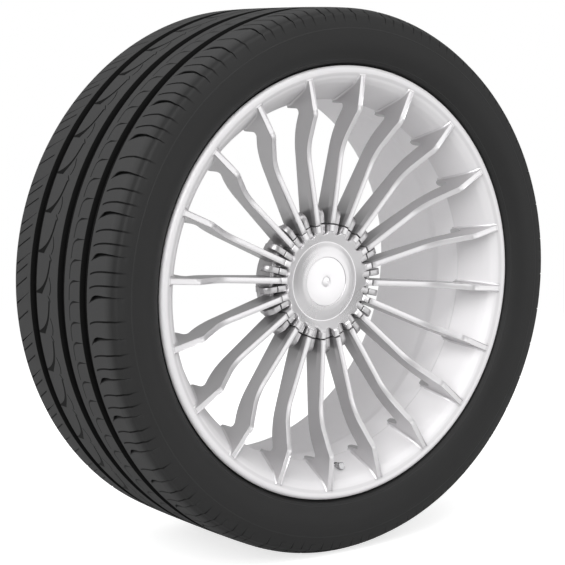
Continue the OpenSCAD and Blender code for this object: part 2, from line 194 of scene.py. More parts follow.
class Draft:
    """Closed surfaces of one piece, gathered as arrays before they become a mesh."""

    def __init__(self) -> None:
        """Starts with no points and no faces."""
        self.points: list[Array] = []
        self.quads: list[Array] = []
        self.fans: list[Array] = []
        self.count = 0

    def _add(self, points: Array, quads: Array, fans: Array) -> None:
        """Adds one closed surface and turns it so that its volume is positive.

        The volume is a sixth of the sum of a . (b x c) over the triangles.
        """
        halves = np.concatenate([quads[:, [0, 1, 2]], quads[:, [0, 2, 3]], fans])
        a, b, c = (points[halves[:, k]] for k in range(3))
        if np.einsum("ij,ij->", a, np.cross(b, c)) < 0:
            quads, fans = quads[:, ::-1], fans[:, ::-1]
        self.points.append(points)
        self.quads.append(quads + self.count)
        self.fans.append(fans + self.count)
        self.count += len(points)

    def tube(self, rings: Array) -> None:
        """Joins closed rings of points in order and closes both ends with fans.

        Args:
            rings: points shaped (rings, points in a ring, 3).
        """
        rows, cols = rings.shape[:2]
        index = np.arange(rows * cols).reshape(rows, cols)
        after = np.roll(index, -1, axis=1)
        quads = np.stack([index[:-1], after[:-1], after[1:], index[1:]], axis=-1).reshape(-1, 4)
        ends = np.stack([rings[0].mean(axis=0), rings[-1].mean(axis=0)])
        first = np.stack([after[0], index[0], np.full(cols, rows * cols)], axis=-1)
        last = np.stack([index[-1], after[-1], np.full(cols, rows * cols + 1)], axis=-1)
        self._add(np.concatenate([rings.reshape(-1, 3), ends]), quads, np.concatenate([first, last]))

    def torus(self, rings: Array) -> None:
        """Joins closed rings of points in order, and the last ring to the first.

        Args:
            rings: points shaped (rings, points in a ring, 3).
        """
        rows, cols = rings.shape[:2]
        index = np.arange(rows * cols).reshape(rows, cols)
        down, after = np.roll(index, -1, axis=0), np.roll(index, -1, axis=1)
        both = np.roll(down, -1, axis=1)
        quads = np.stack([index, after, both, down], axis=-1).reshape(-1, 4)
        self._add(rings.reshape(-1, 3), quads, np.zeros((0, 3), int))

    def revolve(self, profile: Array, segments: int) -> None:
        """Turns a closed profile of radii and heights round the wheel's axis."""
        angles = np.arange(segments) * TURN / segments
        self.torus(polar(profile[:, None, 0], angles[None], profile[:, None, 1]))

    def bar(self, line: Array, low: Array, half: float, bevel: float, turn: float) -> None:
        """Draws a bar along the radius, flat sided, with rounded upper edges.

        Args:
            line: distance out and height along the middle of the upper face.
            low: distance out and height of the lower face, row by row.
            half: half of the width.
            bevel: size of the rounded edges.
            turn: angle of the bar's own direction.
        """
        ahead = np.gradient(line, axis=0)
        ahead /= np.linalg.norm(ahead, axis=1, keepdims=True)
        inset = bevel * np.array([1.0, 0.3, 0.0])
        across = np.concatenate([[-half], inset[::-1] - half, half - inset, [half]])
        sink = np.concatenate([[0.0], inset, inset[::-1], [0.0]])
        out = line[:, :1] + ahead[:, 1:] * sink
        high = line[:, 1:] - ahead[:, :1] * sink
        out[:, 0] = out[:, -1] = low[:, 0]
        high[:, 0] = high[:, -1] = low[:, 1]
        self.tube(planar(out, np.broadcast_to(across, out.shape), high, turn))

    def finish(self, name: str, material: bpy.types.Material, crease: float = 32.0) -> bpy.types.Object:
        """Makes the mesh and its object.

        Args:
            name: name of the piece.
            material: its finish.
            crease: angle in degrees above which an edge is sharp.

        Returns:
            The object, at the origin.
        """
        points = np.concatenate(self.points)
        quads, fans = np.concatenate(self.quads), np.concatenate(self.fans)
        mesh = bpy.data.meshes.new(name)
        mesh.vertices.add(len(points))
        mesh.vertices.foreach_set("co", points.ravel())
        corners = np.concatenate([quads.ravel(), fans.ravel()])
        mesh.loops.add(len(corners))
        mesh.loops.foreach_set("vertex_index", corners)
        starts = np.concatenate([np.arange(len(quads)) * 4, len(quads) * 4 + np.arange(len(fans)) * 3])
        mesh.polygons.add(len(starts))
        mesh.polygons.foreach_set("loop_start", starts)
        mesh.update(calc_edges=True)
        mesh.validate()
        mesh.shade_smooth()
        mesh.set_sharp_from_angle(angle=math.radians(crease))
        mesh.materials.append(material)
        piece = bpy.data.objects.new(name, mesh)
        bpy.context.scene.collection.objects.link(piece)
        log.info("%s: %d points, %d triangles", name, len(points), 2 * len(quads) + len(fans))
        return piece


def mark(piece: bpy.types.Object, name: str, values: Array) -> None:
    """Stores one number for every point of a piece under a name that its finish reads."""
    store = piece.data.attributes.new(name, "FLOAT", "POINT")
    store.data.foreach_set("value", np.asarray(values, np.float32).ravel())


# Shader expressions


class Sock:
    """Output of a shader node that can be used in sums, products and comparisons."""

    def __init__(self, shader: "Shader", socket: bpy.types.NodeSocket) -> None:
        """Wraps a node's output."""
        self.shader, self.socket = shader, socket

    def math(self, operation: str, *values: "Sock | float") -> "Sock":
        """Adds a Math node on this value and the others given."""
        return self.shader.node("ShaderNodeMath", {"operation": operation}, [self, *values])

    def __add__(self, other: "Sock | float") -> "Sock":
        """Sum."""
        return self.math("ADD", other)

    def __sub__(self, other: "Sock | float") -> "Sock":
        """Difference."""
        return self.math("SUBTRACT", other)

    def __rsub__(self, other: float) -> "Sock":
        """Difference with the number first."""
        return self.shader.node("ShaderNodeMath", {"operation": "SUBTRACT"}, [other, self])

    def __mul__(self, other: "Sock | float") -> "Sock":
        """Product."""
        return self.math("MULTIPLY", other)

    def __truediv__(self, other: "Sock | float") -> "Sock":
        """Quotient."""
        return self.math("DIVIDE", other)

    __radd__ = __add__
    __rmul__ = __mul__

    def power(self, exponent: float) -> "Sock":
        """Power of this value."""
        return self.math("POWER", exponent)

    def size(self) -> "Sock":
        """Absolute value."""
        return self.math("ABSOLUTE")

    def least(self, other: "Sock | float") -> "Sock":
        """Smaller of this value and the other."""
        return self.math("MINIMUM", other)

    def most(self, other: "Sock | float") -> "Sock":
        """Larger of this value and the other."""
        return self.math("MAXIMUM", other)

    def wrap(self) -> "Sock":
        """Fraction of this value within one period."""
        return self.math("FRACT")

    def ramp(self, low: float, high: float) -> "Sock":
        """Runs smoothly from 0 at low to 1 at high; low may be the larger."""
        return self.shader.node(
            "ShaderNodeMapRange", {"interpolation_type": "SMOOTHSTEP"},
            {"Value": self, "From Min": low, "From Max": high},
        )


class Shader:
    """One procedural material with a Principled surface."""

    def __init__(self, name: str) -> None:
        """Starts an empty material.

        Args:
            name: name of the material.
        """
        self.material = bpy.data.materials.new(name)
        self.material.use_nodes = True
        self.tree = self.material.node_tree
        self.tree.nodes.clear()
        self.output = self.tree.nodes.new("ShaderNodeOutputMaterial")
        self.surface = self.tree.nodes.new("ShaderNodeBsdfPrincipled")
        self.tree.links.new(self.surface.outputs[0], self.output.inputs[0])

    def node(
        self, kind: str, settings: dict[str, object], inputs: list | dict, output: int | str = 0
    ) -> Sock:
        """Adds a node.

        Args:
            kind: Blender's name of the node's type.
            settings: properties to set first; stops fills a ramp.
            inputs: values or links of its sockets, by place or by name.
            output: the output wanted.

        Returns:
            That output.
        """
        node = self.tree.nodes.new(kind)
        for key, value in settings.items():
            if key == "stops":
                self._stops(node.color_ramp, value)
            else:
                setattr(node, key, value)
        pairs = enumerate(inputs) if isinstance(inputs, list) else inputs.items()
        for key, value in pairs:
            self.put(node.inputs[key], value)
        return Sock(self, node.outputs[output])

    @staticmethod
    def _stops(ramp: bpy.types.ColorRamp, stops: list[tuple[float, float]]) -> None:
        """Fills a colour ramp with grey stops of place and value."""
        while len(ramp.elements) < len(stops):
            ramp.elements.new(1.0)
        for element, (place, value) in zip(ramp.elements, stops):
            element.position, element.color = place, (value, value, value, 1)

    def put(self, socket: bpy.types.NodeSocket, value: object) -> None:
        """Links or sets a socket."""
        if isinstance(value, Sock):
            self.tree.links.new(value.socket, socket)
        else:
            socket.default_value = value

    def place(self) -> tuple[Sock, Sock, Sock]:
        """Gives the point's own X, Y and Z in metres."""
        point = self.node("ShaderNodeTexCoord", {}, [], "Object")
        parts = self.node("ShaderNodeSeparateXYZ", {}, [point])
        outputs = parts.socket.node.outputs
        return tuple(Sock(self, outputs[k]) for k in range(3))

    def noise(self, scale: float, detail: float = 3.0) -> Sock:
        """Gives noise of the given scale over the point's own coordinates."""
        point = self.node("ShaderNodeTexCoord", {}, [], "Object")
        return self.node("ShaderNodeTexNoise", {}, {"Vector": point, "Scale": scale, "Detail": detail})

    def blend(self, share: Sock, low: tuple[float, float, float], high: tuple[float, float, float]) -> Sock:
        """Mixes two colours by a share."""
        mix = self.node("ShaderNodeMix", {"data_type": "RGBA"}, {"Factor": share}, 2)
        node = mix.socket.node
        node.inputs[6].default_value, node.inputs[7].default_value = (*low, 1), (*high, 1)
        return mix

    def tinted(self, value: Sock, tint: tuple[float, float, float]) -> Sock:
        """Makes a colour of a value times a tint."""
        parts = {name: value * share for name, share in zip(("Red", "Green", "Blue"), tint)}
        return self.node("ShaderNodeCombineColor", {}, parts)

    def bump(self, height: Sock, distance: float, strength: float = 1.0) -> None:
        """Bumps the surface by a height."""
        normal = self.node(
            "ShaderNodeBump", {}, {"Strength": strength, "Distance": distance, "Height": height}
        )
        self.put(self.surface.inputs["Normal"], normal)

    def set(self, **inputs: object) -> bpy.types.Material:
        """Sets or links inputs of the surface, with underscores for spaces.

        Returns:
            The material.
        """
        for key, value in inputs.items():
            self.put(self.surface.inputs[key.replace("_", " ")], value)
        return self.material


class Sky(Shader):
    """The surroundings, as one procedural background."""

    def __init__(self, name: str) -> None:
        """Starts a plain world.

        Args:
            name: name of the world.
        """
        self.world = bpy.data.worlds.new(name)
        self.world.use_nodes = True
        self.tree = self.world.node_tree
        self.surface = self.tree.nodes["Background"]

    def ray(self) -> tuple[Sock, Sock, Sock]:
        """Gives the X, Y and Z of a ray's own direction."""
        direction = self.node("ShaderNodeTexCoord", {}, [], "Generated")
        parts = self.node("ShaderNodeSeparateXYZ", {}, [direction])
        return tuple(Sock(self, parts.socket.node.outputs[k]) for k in range(3))


def grey(value: float) -> tuple[float, float, float]:
    """Gives a grey colour."""
    return (value, value, value)


# Finishes


@dataclass(frozen=True)
class Lacquer:
    """Silver lacquer, sprayed over metal or plastic."""

    name: str
    shade: float = 0.72
    roughness: float = 0.33
    metallic: float = 0.75
    coat: float = 0.3

    def vary(self, shader: Shader, radius: Sock, z: Sock) -> tuple[Sock | float, Sock | float]:
        """Gives the shares of the shade and of the metal at a place on the wheel.

        Args:
            shader: the material.
            radius: distance from the wheel's axis in millimetres.
            z: height towards the outboard face.

        Returns:
            Both shares, the same all over for a plain piece.
        """
        return 1.0, 1.0

    def material(self) -> bpy.types.Material:
        """Builds the finish: fine flake grain, slow changes of gloss and a clear coat."""
        shader = Shader(self.name)
        x, y, up = shader.place()
        grain, slow = shader.noise(2600.0, 2.0), shader.noise(11.0, 2.0)
        share, metal = self.vary(shader, (x * x + up * up).power(0.5) * 1000.0, y * -1000.0)
        value = ((grain + slow) * 0.045 + 0.955) * share * self.shade
        shader.bump(grain, 0.00001, 0.25)
        return shader.set(
            Base_Color=shader.tinted(value, (1.0, 0.985, 1.0)), Metallic=metal * self.metallic,
            Roughness=slow * 0.08 + (1.0 - metal) * 0.3 + (self.roughness - 0.04),
            Coat_Weight=metal * self.coat, Coat_Roughness=0.12,
        )


@dataclass(frozen=True)
class CastLacquer(Lacquer):
    """Lacquer of the casting: pale on the turned rim, with painted shade round the drum and on the blades'
    sides and painted highlights on their front edges and fillets at the rim.

    hub is the radius and the height below which painted shade darkens it between the blades'
    roots, and band_r the radius of a painted dark reflection in the flare.
    """

    hub: tuple[float, float] = (97.0, 75.6)
    barrel_z: float = 69.0
    band_r: float = 261.0

    def vary(self, shader: Shader, radius: Sock, z: Sock) -> tuple[Sock | float, Sock | float]:
        """Gives the shares of the shade and of the metal from the place and the marks of the mesh."""
        # painted shade: darker round the drum and the stubs, between the blades' roots
        hub = radius.ramp(self.hub[0] + 22.0, self.hub[0] - 6.0) * z.ramp(self.hub[1], self.hub[1] - 1.2)
        rim = shader.node("ShaderNodeAttribute", {"attribute_name": "rim"}, [], "Fac")
        barrel = rim * z.ramp(self.barrel_z, self.barrel_z - 2.0)
        # painted reflection: a darker ring in the flare at band_r
        dark_reflection = (radius - self.band_r).size().ramp(3.0, 1.0) * (rim - barrel)
        # painted shade on the blades' flat sides and painted highlights on their front edges and fillets at
        # the rim
        side = shader.node("ShaderNodeAttribute", {"attribute_name": "side"}, [], "Fac")
        share = 1.0 - hub * 0.25 + rim * 0.2 + barrel * 0.25 - dark_reflection * 0.14 - side * 0.22
        return share, 1.0 - rim * 0.7


@dataclass(frozen=True)
class CoverLacquer(Lacquer):
    """Lacquer of the hub cover, with painted shade on its low pads between the teeth and a painted highlight
    along the ring.
    """

    pad: tuple[float, float] = (57.0, 75.6)
    ring: float = 50.0

    def vary(self, shader: Shader, radius: Sock, z: Sock) -> tuple[Sock | float, Sock | float]:
        """Gives the shares of the shade and of the metal from the radius and the height."""
        # painted shade on the low pads between the teeth
        low = radius.ramp(self.pad[0], self.pad[0] + 1.0) * z.ramp(self.pad[1], self.pad[1] - 0.6)
        # painted highlight: a brighter, less metallic line along the ring
        line = (radius - self.ring).size().ramp(0.8, 0.3)
        return 1.0 - low * 0.25 + line * 0.35, 1.0 - line * 0.6


@dataclass(frozen=True)
class Machined:
    """Bare or plated metal with turning marks round one axis."""

    name: str
    colour: tuple[float, float, float]
    roughness: float = 0.25
    marks: float = 0.06

    def material(self) -> bpy.types.Material:
        """Builds the finish: rings of slightly different gloss and stains from noise."""
        shader = Shader(self.name)
        _, along, _ = shader.place()
        rings = shader.node(
            "ShaderNodeTexNoise", {"noise_dimensions": "1D"},
            {"W": along * 900.0, "Scale": 1.0, "Detail": 2.0},
        )
        stain = shader.noise(160.0, 3.0)
        dark = tuple(channel * 0.84 for channel in self.colour)
        shader.bump(rings, 0.00002, 0.3)
        return shader.set(
            Base_Color=shader.blend(stain.ramp(0.35, 0.75), self.colour, dark), Metallic=1.0,
            Roughness=rings * self.marks + stain * 0.1 + (self.roughness - 0.05),
        )


@dataclass(frozen=True)
class Moulded:
    """Plain moulded rubber or plastic."""

    name: str
    shade: float = 0.03
    roughness: float = 0.6
    grain: float = 900.0

    def material(self) -> bpy.types.Material:
        """Builds the finish: a fine grain and slow changes of shade."""
        shader = Shader(self.name)
        grain, slow = shader.noise(self.grain, 3.0), shader.noise(30.0, 3.0)
        shader.bump(grain, 0.00004, 0.4)
        return shader.set(
            Base_Color=shader.blend(slow, grey(self.shade * 0.8), grey(self.shade * 1.25)),
            Roughness=slow * 0.14 + (self.roughness - 0.07),
        )


@dataclass(frozen=True)
class TyrePattern:
    """Sizes of the tread pattern, in millimetres, which mesh and finish share.

    Distances round the tyre grow upwards on the side that faces the camera.
    """

    radius: float = 343.25
    pitches: int = 44
    crown_drop: float = 2.4
    groove_places: tuple[float, float, float] = (61.95, 10.03, -57.82)
    groove_half: float = 7.3
    floor_half: float = 5.4
    groove_depth: float = 7.5

    @property
    def pitch(self) -> float:
        """Length of one pitch round the tyre."""
        return TURN * self.radius / self.pitches


@dataclass(frozen=True)
class TyreRubber:
    """Black rubber with the fine cuts of the tread, and painted shade in its cuts, crescents and grooves.

    The shade runs from the side's to the tread's between the radii of edge, a paler
    tread rubber whose edge also paints shade over the shoulder; faint raised lines of the mould stand at the
    radii of ridges, with a painted highlight along them.
    """

    name: str
    pattern: TyrePattern
    side_shade: float = 0.0165
    tread_shade: float = 0.048
    edge: tuple[float, float] = (336.0, 342.6)
    ridges: tuple[float, float] = (316.5, 279.0)

    def _line(self, distance: Sock, half: Sock | float, soft: float = 0.3) -> Sock:
        """Makes a mask that is 1 within half a width of a line and fades over a soft edge."""
        return 1.0 - ((distance.size() - half) / soft).ramp(0.0, 1.0)

    def _leaf(self, z: Sock, s: Sock) -> Sock:
        """Draws the long leaf cuts of the wide rib, the thin cuts that branch off and their ticks.

        A leaf runs over s = 0 to 42 of its pitch, and its place across the rib
        is 0.62 (1 - exp(-(s + 2) / 14)) of the rib's width.
        """
        rib_low, rib_width = self.pattern.groove_places[2] + 7.0, 54.0
        t = (z - rib_low) / rib_width
        run = (s / self.pattern.pitch).wrap() * self.pattern.pitch
        fall = ((run + 2.0) * (-1 / 14.0)).math("EXPONENT")
        slope = fall * (0.62 / 14.0 * rib_width)
        lean = (slope * slope + 1.0).power(0.5)
        width = ((run * (-1 / 7.0)).math("EXPONENT")) * 3.2 + 1.5
        leaf = self._line((t - (1.0 - fall) * 0.62) * rib_width / lean, width) * run.ramp(43.0, 41.0)
        sweep = ((run + 3.0) / 25.0).least(1.0)
        arch = (sweep * math.pi).math("SINE")
        branch = self._line((t - 0.585 - arch * 0.085) * rib_width, 0.8, 0.4) * run.ramp(23.0, 20.0) * 0.9
        x = (t - 0.6) * rib_width
        tick = self._line((run - 44.5 + x) * 0.7, 0.6, 0.4) * x.size().ramp(4.0, 2.6)
        inside = t.ramp(0.0, 0.02) * t.ramp(1.0, 0.98)
        return leaf.most(branch).most(tick) * inside

    def _hooks(self, z: Sock, s: Sock) -> Sock:
        """Draws the thin cut of the narrow rib, which hooks to the groove twice a pitch.

        Its place across the rib is 0.34 + 0.5 exp(-d / 2.6), with d the
        distance below the hook.
        """
        rib_low, rib_width = self.pattern.groove_places[1] + 7.0, 38.0
        half_pitch = self.pattern.pitch / 2
        t = (z - rib_low) / rib_width
        below = (1.0 - (s / half_pitch).wrap()) * half_pitch
        fall = (below * (-1 / 2.6)).math("EXPONENT")
        slope = fall * (0.5 / 2.6 * rib_width)
        lean = (slope * slope + 1.0).power(0.5)
        line = self._line((t - 0.34 - fall * 0.5) * rib_width / lean, fall * 0.5 + 0.7, 0.4)
        return line * t.ramp(0.0, 0.02) * t.ramp(1.0, 0.98) * (fall * 0.3 + 0.7)

    def _sipes(self, z: Sock, s: Sock, drift: Sock, inner: float, outer: float) -> Sock:
        """Draws the thin cuts between two crescents of a shoulder: two, but one in every fourth pitch.

        Args:
            z: height from the centre plane, as a positive distance.
            s: distance round the tyre.
            drift: how far the cuts have moved round the tyre at this height.
            inner: height at which the cuts start.
            outer: height at which they end.

        Returns:
            The mask of the cuts.
        """
        pitch = self.pattern.pitch
        turns = (s - drift) / pitch
        place = turns.wrap() * pitch
        group = turns.math("FLOOR").math("FLOORED_MODULO", 4.0)
        single = group.math("COMPARE", 1.0, 0.5)
        pair = self._line(place - pitch * 0.35, 0.9, 0.3).most(self._line(place - pitch * 0.68, 0.9, 0.3))
        middle = self._line(place - pitch * 0.5, 0.9, 0.3)
        lines = pair * (1.0 - single) + middle * single
        return lines * z.ramp(inner, inner + 3.0) * z.ramp(outer, outer - 8.0)

    def material(self) -> bpy.types.Material:
        """Builds the finish from the angle round the wheel, the radius and the height."""
        pattern, shader = self.pattern, Shader(self.name)
        x, y, up = shader.place()
        z = y * -1000.0
        radius = (x * x + up * up).power(0.5) * 1000.0
        s = up.math("ARCTAN2", x) * (-pattern.pitches / TURN * pattern.pitch)
        outboard_drift = (1.0 - ((z - 72.0).most(0.0) * (-1 / 14.0)).math("EXPONENT")) * 8.0
        outboard = self._sipes(z, s, outboard_drift, 74.0, 140.0) * radius.ramp(320.0, 338.0)
        inboard = self._sipes(z * -1.0, s, (z + 72.0) * 0.51, 73.0, 122.0) * radius.ramp(324.0, 338.0)
        on_top = radius.ramp(pattern.radius - 5.2, pattern.radius - 4.4)
        cuts = (self._leaf(z, s).most(self._hooks(z, s)) * on_top).most(outboard).most(inboard)
        # painted shade in the crescent cuts, darker where the mesh is cut deeper
        sunk_shade = shader.node("ShaderNodeAttribute", {"attribute_name": "cut"}, [], "Fac").ramp(0.06, 0.45)
        grain, slow = shader.noise(1500.0, 3.0), shader.noise(9.0, 3.0)
        # paler tread rubber, with painted shade over the shoulder between the edge radii
        tread = radius.ramp(*self.edge)
        near = (z - pattern.groove_places[0]).size()
        for place in pattern.groove_places[1:]:
            near = near.least((z - place).size())
        # painted shade over the straight grooves
        floor = near.ramp(8.9, 8.0) * radius.ramp(330.0, 331.0)
        rings = ((radius * (TURN / 1.6)).math("SINE") * 0.5 + 0.5).power(3.0) * radius.ramp(262.0, 268.0)
        upper, lower = (radius - ridge_r for ridge_r in self.ridges)
        # raised mould lines, also brightened as a painted highlight
        ridge_and_highlight = self._line(upper, 0.4, 0.6).most(self._line(lower, 0.3, 0.5)) * (1.0 - tread)
        shade = tread * (self.tread_shade - self.side_shade) + self.side_shade + (slow - 0.5) * 0.006
        # painted shade: cuts, crescents and grooves darkened, and their reflections dulled through Metallic
        dark = floor.most(sunk_shade * 0.9).most(cuts)
        shade = shade * (1.0 - dark * 0.95) * (ridge_and_highlight * 0.35 + 1.0)
        channels = {"Red": shade, "Green": shade, "Blue": shade * 1.01}
        colour = shader.node("ShaderNodeCombineColor", {}, channels)
        height = grain * 0.03 + ridge_and_highlight * 0.5 + rings * 0.015 * (1.0 - tread) - cuts
        shader.bump(height, 0.0006, 0.8)
        return shader.set(
            Base_Color=colour, Roughness=(grain - 0.5) * 0.1 + tread * 0.12 + 0.58,
            Specular_IOR_Level=0.3, Metallic=dark * 0.5,
        )


# Sub-assemblies


@dataclass
class CastWheel:
    """The one-piece casting: rim, blades, stubs, drum and hub.

    A blade's front edge falls to the dip (radius, height, bend), climbs for
    dip_turn degrees and goes on straight to the knee. Its rear edge is the line
    from the height rear[0] at the root to the joint (radius, height), then an arc
    of a radius that starts at a lean in degrees. Its outer end starts at turn
    (radius, height) and rises by turn_rise degrees to the fin.
    """

    lip_z: float = 118.55
    lip_r: float = 271.5
    seat_r: float = 254.0
    half_w: float = 107.95
    flange: float = 10.6
    ledge: float = 49.0
    window_r: float = 229.0
    blade_count: int = 20
    phase: float = math.radians(12.5)
    half: float = 3.8
    root_r: float = 74.1
    root_z: float = 82.4
    dip: tuple[float, float, float] = (149.0, 87.3, 72.0)
    dip_turn: float = 34.6
    rear: tuple[float, float, float, float, float] = (48.0, 170.0, 64.5, 110.0, 9.8)
    turn: tuple[float, float] = (207.9, 78.6)
    turn_rise: float = 31.0
    fillet: float = 3.0
    knee_r: float = 217.0
    drop: float = 1.2
    fin_r: float = 226.5
    seat_z: float = 52.0
    stub_z: float = 74.9
    stub_length: float = 20.0
    stub_round: float = 11.5
    finish: Lacquer = field(default_factory=lambda: CastLacquer("wheel silver", 0.68))

    def _flare(self) -> list[tuple[float, float, float]]:
        """Gives the corners of the flare from the lip down to the ledge, with their radii."""
        lip, s = self.lip_z, self.seat_r
        return [
            (s + 2, lip - 4, 12), (s - 4, lip - 10, 20), (s - 9, lip - 18.5, 26),
            (self.window_r, lip - self.ledge, 1.6),
        ]

    def _rim_profile(self) -> Array:
        """Draws the rim's closed section, with every corner rounded."""
        nose, s, lip, w = self.lip_r - self.flange / 2, self.seat_r, self.lip_z, self.half_w
        ledge = lip - self.ledge
        inner = [
            (nose, lip, 0), (s + 8, lip - 1.0, 9), *self._flare(), (self.window_r, ledge - 8, 2),
            (s - 24, ledge - 9, 4), (s - 24, 27, 14), (240.5, 3, 40), (242.5, -w + 16, 14),
            (s - 6.5, -lip + 3, 3), (s - 3, -lip, 2.5), (nose, -lip, 0),
        ]
        outer = [
            (nose, -w, 0), (s + 3, -w, 2), (s, -w + 3, 4), (s - 1.6, -w + 19, 3), (s - 0.4, -w + 22, 3),
            (s - 4, -w + 26, 5), (248.5, -w + 40, 10), (246.5, 6, 16), (236, 30, 12), (236, ledge - 10, 8),
            (237.5, ledge - 6, 4), (s - 8, w - 29, 8), (s - 2, w - 25, 3), (s - 0.4, w - 22, 3),
            (s - 1.6, w - 19, 3), (s, w - 3, 4), (s + 3, w, 2), (nose, w, 0),
        ]
        bend = np.linspace(-math.pi / 2, math.pi / 2, 15)[1:-1]
        bow = np.stack([np.cos(bend), np.sin(bend)], axis=1) * self.flange / 2
        low = bow + [nose, -(w + self.flange / 2)]
        high = bow + [nose, w + self.flange / 2]
        return np.concatenate([rounded(inner, 7), low, rounded(outer, 5), high])

    def _front(self, radius: Array) -> Array:
        """Gives the height of a blade's front edge: a line, an arc, a line and the level tip."""
        low_r, low_z, bend = self.dip
        turn = math.radians(self.dip_turn)
        end_r, end_z = low_r + bend * math.sin(turn), low_z + bend * (1 - math.cos(turn))
        rise = self.root_z + (radius - self.root_r) / (low_r - self.root_r) * (low_z - self.root_z)
        arc = low_z + bend - np.sqrt(np.maximum(bend**2 - (radius - low_r) ** 2, 1.0))
        tip = self.lip_z - self.drop
        slope = end_z + (radius - end_r) / (self.knee_r - end_r) * (tip - end_z)
        inner = np.where(radius < low_r, rise, arc)
        return np.minimum(np.where(radius < end_r, inner, slope), tip)

    def _rear(self, radius: Array) -> Array:
        """Gives the height of a blade's rear edge: a line and then a hollow arc."""
        start_z, joint_r, joint_z, hollow, lean = self.rear
        line = start_z + (radius - self.root_r) / (joint_r - self.root_r) * (joint_z - start_z)
        tilt = math.radians(lean)
        centre_r, centre_z = joint_r - hollow * math.sin(tilt), joint_z + hollow * math.cos(tilt)
        arc = centre_z - np.sqrt(hollow**2 - (radius - centre_r) ** 2)
        return np.where(radius < joint_r, line, arc)

    def _tip_side(self, flare: Array) -> tuple[Array, Array, Array]:
        """Works out the boundaries of a blade's outer end.

        Args:
            flare: section of the rim from the blade's tip to the foot of its fin.

        Returns:
            Front boundary, rear boundary and the stations' places along them.
        """
        turn_r, turn_z = self.turn
        along, steps = np.linspace(0, 1, 22) ** 1.1, 400
        start = (turn_r, float(self._front(np.array(turn_r))), 0)
        front = rounded([start, (self.knee_r, self.lip_z - self.drop, 7), (*flare[0], 0)])
        fin_z = turn_z + (self.fin_r - turn_r) * math.tan(math.radians(self.turn_rise))
        fin = [(self.fin_r, fin_z, 5), (self.fin_r, flare[-1, 1], 0)]
        rear = rounded([(turn_r, turn_z, 0), *fin, (*flare[-1], 0)], 8)
        return along_path(front, along, steps), along_path(rear, along, steps), along

    def _blade_side(self) -> tuple[Array, Array]:
        """Works out a blade's flat side as stations from the hub to the rim.

        The inner stations are level lines from the front to the rear edge. The
        outer ones are a Coons patch: the sum of the surfaces ruled between its
        two pairs of sides, less the one through its corners. The last run
        beside the rim's own section, where the side swells by the circle of the
        fillet.

        Returns:
            Points shaped (stations, rows, 2), and each one's half thickness.
        """
        fillet, dip_r, turn_r = self.fillet, self.dip[0], self.turn[0]
        tip = (self.seat_r + 7.6, self.lip_z - self.drop, 0)
        flare = rounded([tip, *self._flare(), (self.window_r, self.lip_z - self.ledge - 6, 0)], 7)
        root = [self.root_r, self.root_r + 0.5]
        inner_r = np.concatenate([root, np.linspace(80, dip_r, 9), np.linspace(dip_r + 5, turn_r, 13)])
        rows_front, rows_rear = np.array([0, 0.3, 1.0, 2.2]), np.array([5.0, 2.4, 0.7, 0])
        middle = np.linspace(0, 1, 9)[1:-1]
        length = self._front(inner_r) - self._rear(inner_r)
        fractions = lambda span: np.concatenate(
            [rows_front / span, 2.2 / span + middle * (1 - 7.2 / span), 1 - rows_rear / span]
        )
        v_inner = np.stack([fractions(span) for span in length])
        inner_z = self._front(inner_r)[:, None] - v_inner * length[:, None]
        inner = np.stack([np.repeat(inner_r[:, None], inner_z.shape[1], axis=1), inner_z], axis=-1)
        front, rear, along = self._tip_side(flare)
        v = fractions(float(length[-1]))
        last_line = inner[-1]
        end_line = along_path(flare, v, 200)
        gap = np.clip((end_line[:, 0] - self.fin_r) / 4.5, 0.35, 1)
        slope = np.gradient(end_line, axis=0)
        slope /= np.linalg.norm(slope, axis=1, keepdims=True)
        inwards = np.stack([slope[:, 1], -slope[:, 0]], axis=1)
        inwards *= np.sign(np.einsum("ij,ij->i", inwards, last_line - end_line))[:, None]
        inwards[0] = [-1, 0]
        near = end_line + inwards * (fillet * gap)[:, None]
        u = along[:, None, None]
        front, rear = front + u[:, 0] * (near[0] - end_line[0]), rear + u[:, 0] * (near[-1] - end_line[-1])
        w = v[None, :, None]
        ruled = (1 - w) * front[:, None] + w * rear[:, None] + (1 - u) * last_line[None] + u * near[None]
        corners = (1 - u) * ((1 - w) * front[0] + w * rear[0]) + u * ((1 - w) * near[0] + w * near[-1])
        outer = ruled - corners
        left = np.array([2.1, 1.3, 0.7, 0.25, 0.0, -1.5])
        beside = end_line[None] + inwards[None] * (left[:, None] * gap[None])[..., None]
        side = np.concatenate([inner, outer[1:], beside])
        swell = fillet - np.sqrt(np.maximum(fillet**2 - (fillet - np.maximum(left, 0)) ** 2, 0))
        thickness = np.full(side.shape[:2], self.half)
        thickness[-len(left) :] += swell[:, None]
        return side, thickness

    def _blades(self, draft: Draft) -> Array:
        """Adds the blades, each a tube of rings that run down one side and up the other.

        Returns:
            A mark of painted light for each point: 1 on the flat sides, where the finish paints shade, less
                than 0 in front and on the fillet at the rim, where it paints highlights.
        """
        side, thickness = self._blade_side()
        edge = np.zeros(side.shape[1])
        edge[:3], edge[-3:] = [1.0, 0.3, 0.0], [0.0, 0.7, 2.2]
        across = thickness - edge[None]
        across[0] -= 0.4
        side[0, 0, 1] -= 0.4
        out = np.concatenate([side[..., 0], side[:, ::-1, 0]], axis=1)
        high = np.concatenate([side[..., 1], side[:, ::-1, 1]], axis=1)
        wide = np.concatenate([across, -across[:, ::-1]], axis=1)
        for k in range(self.blade_count):
            draft.tube(planar(out, wide, high, self.phase + k * TURN / self.blade_count))
